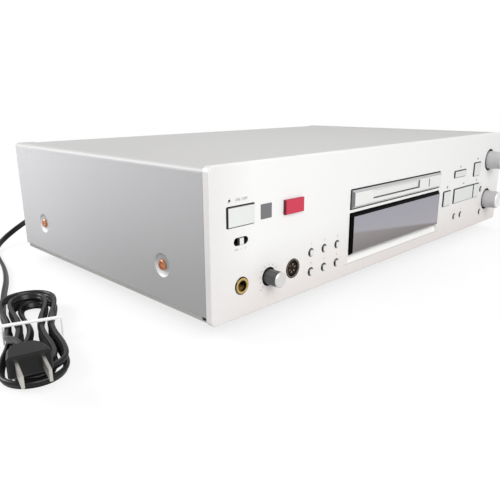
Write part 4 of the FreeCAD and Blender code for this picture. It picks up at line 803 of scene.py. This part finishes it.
def carry(section, line, tilt):
    """Points and faces of a section carried along a line, closed at both ends.

    A section point (a, b) goes to place + a * wide + b * thin. Wide lies square to the line, turned by the
    tilt from level, and thin lies square to both.
    """
    tangent = np.append(line[1:], line[-1:], axis=0) - np.append(line[:1], line[:-1], axis=0)
    tangent /= np.linalg.norm(tangent, axis=1, keepdims=True)
    level = np.cross(tangent, (0.0, 0.0, 1.0))
    level /= np.linalg.norm(level, axis=1, keepdims=True)
    wide = level * math.cos(tilt) + np.cross(level, tangent) * math.sin(tilt)
    thin = np.cross(tangent, wide)
    points = line[:, None] + section[:, :1] * wide[:, None] + section[:, 1:] * thin[:, None]
    count = len(section)
    ring = np.arange(count)
    after = np.roll(ring, -1)
    start = np.arange(len(line) - 1)[:, None] * count
    sides = np.stack([start + ring, start + after, start + count + after, start + count + ring], axis=2)
    ends = [ring.tolist(), (start[-1] + count + ring[::-1]).tolist()]
    return points.reshape(-1, 3), sides.reshape(-1, 4).tolist() + ends


class OBJECT_OT_deck_cord(bpy.types.Operator):
    """Lay the flat mains cord along its route, with its hank, and finish its tie and plug"""
    bl_idname = "object.deck_cord"
    bl_label = "Mains cord"

    def execute(self, context):
        sizes = context.scene.deck_cord
        black = cord_finish()
        line = smooth_line(cord_route())
        points, faces = carry(two_core_section(sizes.width, sizes.thickness), line, sizes.tilt)
        cord = piece("mains_cord", points, faces, black, smooth=True)
        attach(cord, "chassis")
        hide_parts("cord_lead", "cord_hank", "cord_tail")
        dress(plain("tie_white", (0.80, 0.80, 0.79), 0.4), "cord_tie")
        dress(plug_finish(), "mains_plug")
        return {"FINISHED"}


def cord_finish():
    """Black cord cover with a soft sheen."""
    surface = Surface("cord_black")
    tone = surface.mix(surface.noise(160.0), (0.006, 0.006, 0.006), (0.011, 0.011, 0.012))
    return surface.finish(tone, 0.33, Specular_IOR_Level=0.35)


def plug_finish():
    """Black moulding with bare metal blades beyond its front."""
    surface = Surface("plug_black")
    spot, x, y, z = surface.place()
    a = math.radians(HANK_AXIS + PLUG_TURN)
    start = plug_place(0)
    along = (x - start.x) * math.cos(a) + (y - start.y) * math.sin(a)
    blade = along.math("GREATER_THAN", (PLUG_BODY + 0.1) * MM)
    tone = surface.mix(blade, (0.008, 0.008, 0.008), (0.62, 0.60, 0.56))
    return surface.finish_glossed(blade, 0.25, 0.5, tone, 0.35, blade * 0.9)


class OBJECT_OT_deck_stage(bpy.types.Operator):
    """Make the camera, the floor, the lights and the world"""
    bl_idname = "object.deck_stage"
    bl_label = "Stage"

    def execute(self, context):
        scene = context.scene
        studio = scene.deck_studio
        turn, down = math.radians(CAMERA_TURN), math.radians(CAMERA_DOWN)
        forward = Vector((math.sin(turn) * math.cos(down), math.cos(turn) * math.cos(down), -math.sin(down)))
        data = bpy.data.cameras.new("camera")
        data.sensor_width = 36
        data.lens = CAMERA_LENS
        data.clip_start = 0.01
        camera = bpy.data.objects.new("camera", data)
        aim = forward.to_track_quat("-Z", "Y").to_matrix().to_4x4()
        roll = Matrix.Rotation(math.radians(CAMERA_ROLL), 4, "Z")
        camera.matrix_world = Matrix.Translation(CAMERA_PLACE) @ (aim @ roll)
        scene.collection.objects.link(camera)
        scene.camera = camera
        corners = [(x, y, 0) for x, y in block(-FLOOR_HALF, FLOOR_HALF, -FLOOR_HALF, FLOOR_HALF)]
        floor = piece("floor", corners, [(0, 1, 2, 3)], floor_finish())
        lamp("key_light", (-0.35, -1.3, 0.75), (0, -0.1, 0.05), 1.0, studio.key)
        lamp("top_light", (0.75, 0.5, 1.2), (0, 0.05, 0.0), 1.0, studio.top)
        lamp("side_light", (-0.75, 0.62, 0.52), (-0.22, 0.14, 0.09), 0.45, studio.side)
        world_light(scene, studio.world)
        scene.view_settings.view_transform = "Standard"
        return {"FINISHED"}


def floor_finish():
    """White floor with a faint shadow near the deck, fading to plain white further out."""
    surface = Surface("floor_white")
    spot, x, y, z = surface.place()
    away = (x * x + y * y).math("SQRT").ramp(0.32, 0.75)
    seen = surface.node("LightPath", output="Is Camera Ray")
    paint = surface.node("BsdfDiffuse", {"Color": surface.mix(seen, (0.62, 0.62, 0.62), (0.95, 0.95, 0.95))})
    glow = surface.node("Emission", {"Color": (1, 1, 1, 1), "Strength": 1.0})
    blend = surface.node("MixShader", {0: seen * (away * 0.25 + 0.75), 1: paint, 2: glow})
    return surface.close(blend)


def lamp(name, place, target, size, power):
    """Square area light aimed at a target."""
    data = bpy.data.lights.new(name, "AREA")
    data.size = size
    data.energy = power
    light = bpy.data.objects.new(name, data)
    way = Vector(target) - Vector(place)
    light.matrix_world = Matrix.Translation(place) @ way.to_track_quat("-Z", "Y").to_matrix().to_4x4()
    bpy.context.scene.collection.objects.link(light)


def world_light(scene, strength):
    """Even white all round; whiter where the camera looks straight at it."""
    world = bpy.data.worlds.new("studio")
    world.use_nodes = True
    tree = world.node_tree
    tree.nodes.clear()
    path = tree.nodes.new("ShaderNodeLightPath")
    seen = Wire(tree, path.outputs["Is Camera Ray"])
    background = tree.nodes.new("ShaderNodeBackground")
    background.inputs["Color"].default_value = (1, 1, 1, 1)
    join(tree, background.inputs["Strength"], strength + (1.0 - strength) * seen)
    output = tree.nodes.new("ShaderNodeOutputWorld")
    tree.links.new(background.outputs[0], output.inputs["Surface"])
    scene.world = world


class VIEW3D_PT_deck(bpy.types.Panel):
    """Panel with the deck's sizes, colours and steps"""
    bl_label = "Minidisc deck"
    bl_idname = "VIEW3D_PT_deck"
    bl_space_type = "VIEW_3D"
    bl_region_type = "UI"
    bl_category = "Deck"

    def draw(self, context):
        layout = self.layout
        scene = context.scene
        for group, names in ((scene.deck_finish, ("silver", "cover", "glass", "badge", "grain")),
                             (scene.deck_cord, ("width", "thickness", "tilt")),
                             (scene.deck_studio, ("key", "top", "side", "world"))):
            column = layout.column(align=True)
            for name in names:
                column.prop(group, name)
        for operator in STEPS:
            layout.operator(operator.bl_idname)


STEPS = (OBJECT_OT_deck_stage, OBJECT_OT_deck_front, OBJECT_OT_deck_print, OBJECT_OT_deck_case,
         OBJECT_OT_deck_inside, OBJECT_OT_deck_cord)
GROUPS = (("deck_finish", DeckFinish), ("deck_cord", DeckCord), ("deck_studio", DeckStudio))


def register():
    for name, group in GROUPS:
        bpy.utils.register_class(group)
        setattr(bpy.types.Scene, name, bpy.props.PointerProperty(type=group))
    for step in STEPS:
        bpy.utils.register_class(step)
    bpy.utils.register_class(VIEW3D_PT_deck)


def unregister():
    bpy.utils.unregister_class(VIEW3D_PT_deck)
    for step in reversed(STEPS):
        bpy.utils.unregister_class(step)
    for name, group in reversed(GROUPS):
        delattr(bpy.types.Scene, name)
        bpy.utils.unregister_class(group)


def main():
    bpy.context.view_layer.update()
    register()
    bpy.ops.object.deck_stage()
    bpy.ops.object.deck_cord()
    bpy.ops.object.deck_front()
    bpy.ops.object.deck_print()
    bpy.ops.object.deck_case()
    bpy.ops.object.deck_inside()


if __name__ == "__main__":
    main()
